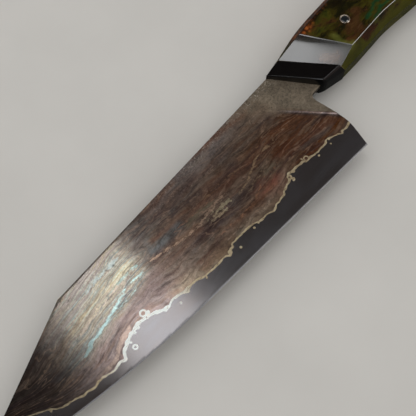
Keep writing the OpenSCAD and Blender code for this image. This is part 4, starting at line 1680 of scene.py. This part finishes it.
def build_world():
    """Surfaces mirror a dim, warm studio, and matt surfaces get its even fill."""
    world = bpy.data.worlds.new("studio")
    bpy.context.scene.world = world
    world.use_nodes = True
    world.node_tree.nodes.clear()
    n = Nodes(world.node_tree)
    zenith, horizon, fill_light = 0.050, 0.24, 0.62     # strengths
    direction = n.node("SeparateXYZ", {0: n.node("TexCoord")["Generated"]})
    glow = n.map(direction["Z"], over=(0.02, 0.42), to=(horizon, zenith),
                 interpolation_type="SMOOTHSTEP")
    # the horizon is brighter on the -Y side
    spine_gain = n.map(direction["Y"], over=(-0.8, 0.1), to=(2.4, 1.0))
    glow = n.node("Math", {0: glow, 1: zenith}, operation="SUBTRACT")[0]
    glow = n.node("Math", {0: glow, 1: spine_gain}, operation="MULTIPLY")[0]
    glow = n.node("Math", {0: glow, 1: zenith}, operation="ADD")[0]
    glossy = n.node("LightPath")["Is Glossy Ray"]
    strength = n.node("Mix", {0: glossy, 2: fill_light, 3: glow})[0]
    colour = n.node("Mix", {0: glossy, 6: (1.0, 0.985, 0.96), 7: (1.0, 0.78, 0.72)},
                    data_type="RGBA")[2]
    background = n.node("Background", {"Strength": strength, "Color": colour})[0]
    n.node("OutputWorld", {"Surface": background})


build_floor()
build_world()


# ---------------------------------------------------------------- lights and camera, in metres

def softbox(name, width, depth, strength, fades, colour):
    """A cloth that glows downwards (-Z). fades gives the width of each rim that
    fades out: -x, +x, -y, +y."""
    w, d = width / 2, depth / 2
    material = bpy.data.materials.new(name + "_cloth")
    material.use_nodes = True
    material.node_tree.nodes.clear()
    n = Nodes(material.node_tree)
    place = n.node("SeparateXYZ", {0: n.node("TexCoord")["Object"]})
    glow = strength
    for axis, low, high, ends in (("X", -w, -w + fades[0], (0.0, 1.0)),
                                  ("X", w - fades[1], w, (1.0, 0.0)),
                                  ("Y", -d, -d + fades[2], (0.0, 1.0)),
                                  ("Y", d - fades[3], d, (1.0, 0.0))):
        rim = n.map(place[axis], over=(low, high), to=ends, interpolation_type="SMOOTHSTEP")
        glow = n.node("Math", {0: rim, 1: glow}, operation="MULTIPLY")[0]
    emission = n.node("Emission", {"Strength": glow, "Color": colour})[0]
    n.node("OutputMaterial", {"Surface": emission})
    ob = link(name, new_mesh(name, [(-w, -d, 0), (-w, d, 0), (w, d, 0), (w, -d, 0)],
                             [[0, 1, 2, 3]], [material]))
    ob.visible_camera = False
    return ob


# the box above: crisp towards the handle, fading out towards the tip
TOP_WIDTH, TOP_DEPTH = 0.123, 0.325
top = softbox("softbox_top", width=TOP_WIDTH, depth=TOP_DEPTH, strength=3.0,
              fades=(0.010, 0.024, 0.03, 0.062), colour=(0.985, 0.99, 1.0))
top.location = (-0.013 + TOP_WIDTH / 2, 0.062 - TOP_DEPTH / 2, 0.610)
# a small panel beside it, which only the plunge wall and the eased edges mirror
small = softbox("softbox_small", width=0.20, depth=0.12, strength=3.0,
                fades=(0.03, 0.03, 0.015, 0.03), colour=(0.93, 0.96, 1.0))
small.location = (0.06, 0.138, 0.612)
small.visible_diffuse = False
# a large dim panel low on the edge side, which only draws the bright ridge lines
panel = softbox("softbox_edge_side", width=1.1, depth=0.62, strength=4.5,
                fades=(0.05, 0.05, 0.05, 0.05), colour=(1.0, 0.99, 0.97))
aim = Vector((-0.336, 0.607, 0.719)).normalized()
panel.location = Vector((0.02, 0.01, 0.02)) + aim
panel.rotation_euler = (-aim).to_track_quat("-Z", "Y").to_euler()
panel.visible_diffuse = False

camera_data = bpy.data.cameras.new("camera")
camera_data.sensor_width = 36
camera_data.lens = 73.557692
camera_data.clip_start, camera_data.clip_end = 0.01, 20
camera = link("camera", camera_data)
view_right = Vector((-0.63368, 0.77343, 0.01615))
view_down = Vector((0.69697, 0.57985, -0.42191))
view_forward = Vector((-0.33568, -0.25610, -0.90650))
turn = Matrix((view_right, -view_down, -view_forward)).transposed()
camera.matrix_world = Matrix.Translation(Vector((0.2262, 0.0995, 0.3286))) @ turn.to_4x4()
bpy.context.scene.camera = camera
bpy.context.scene.view_settings.view_transform = "Standard"
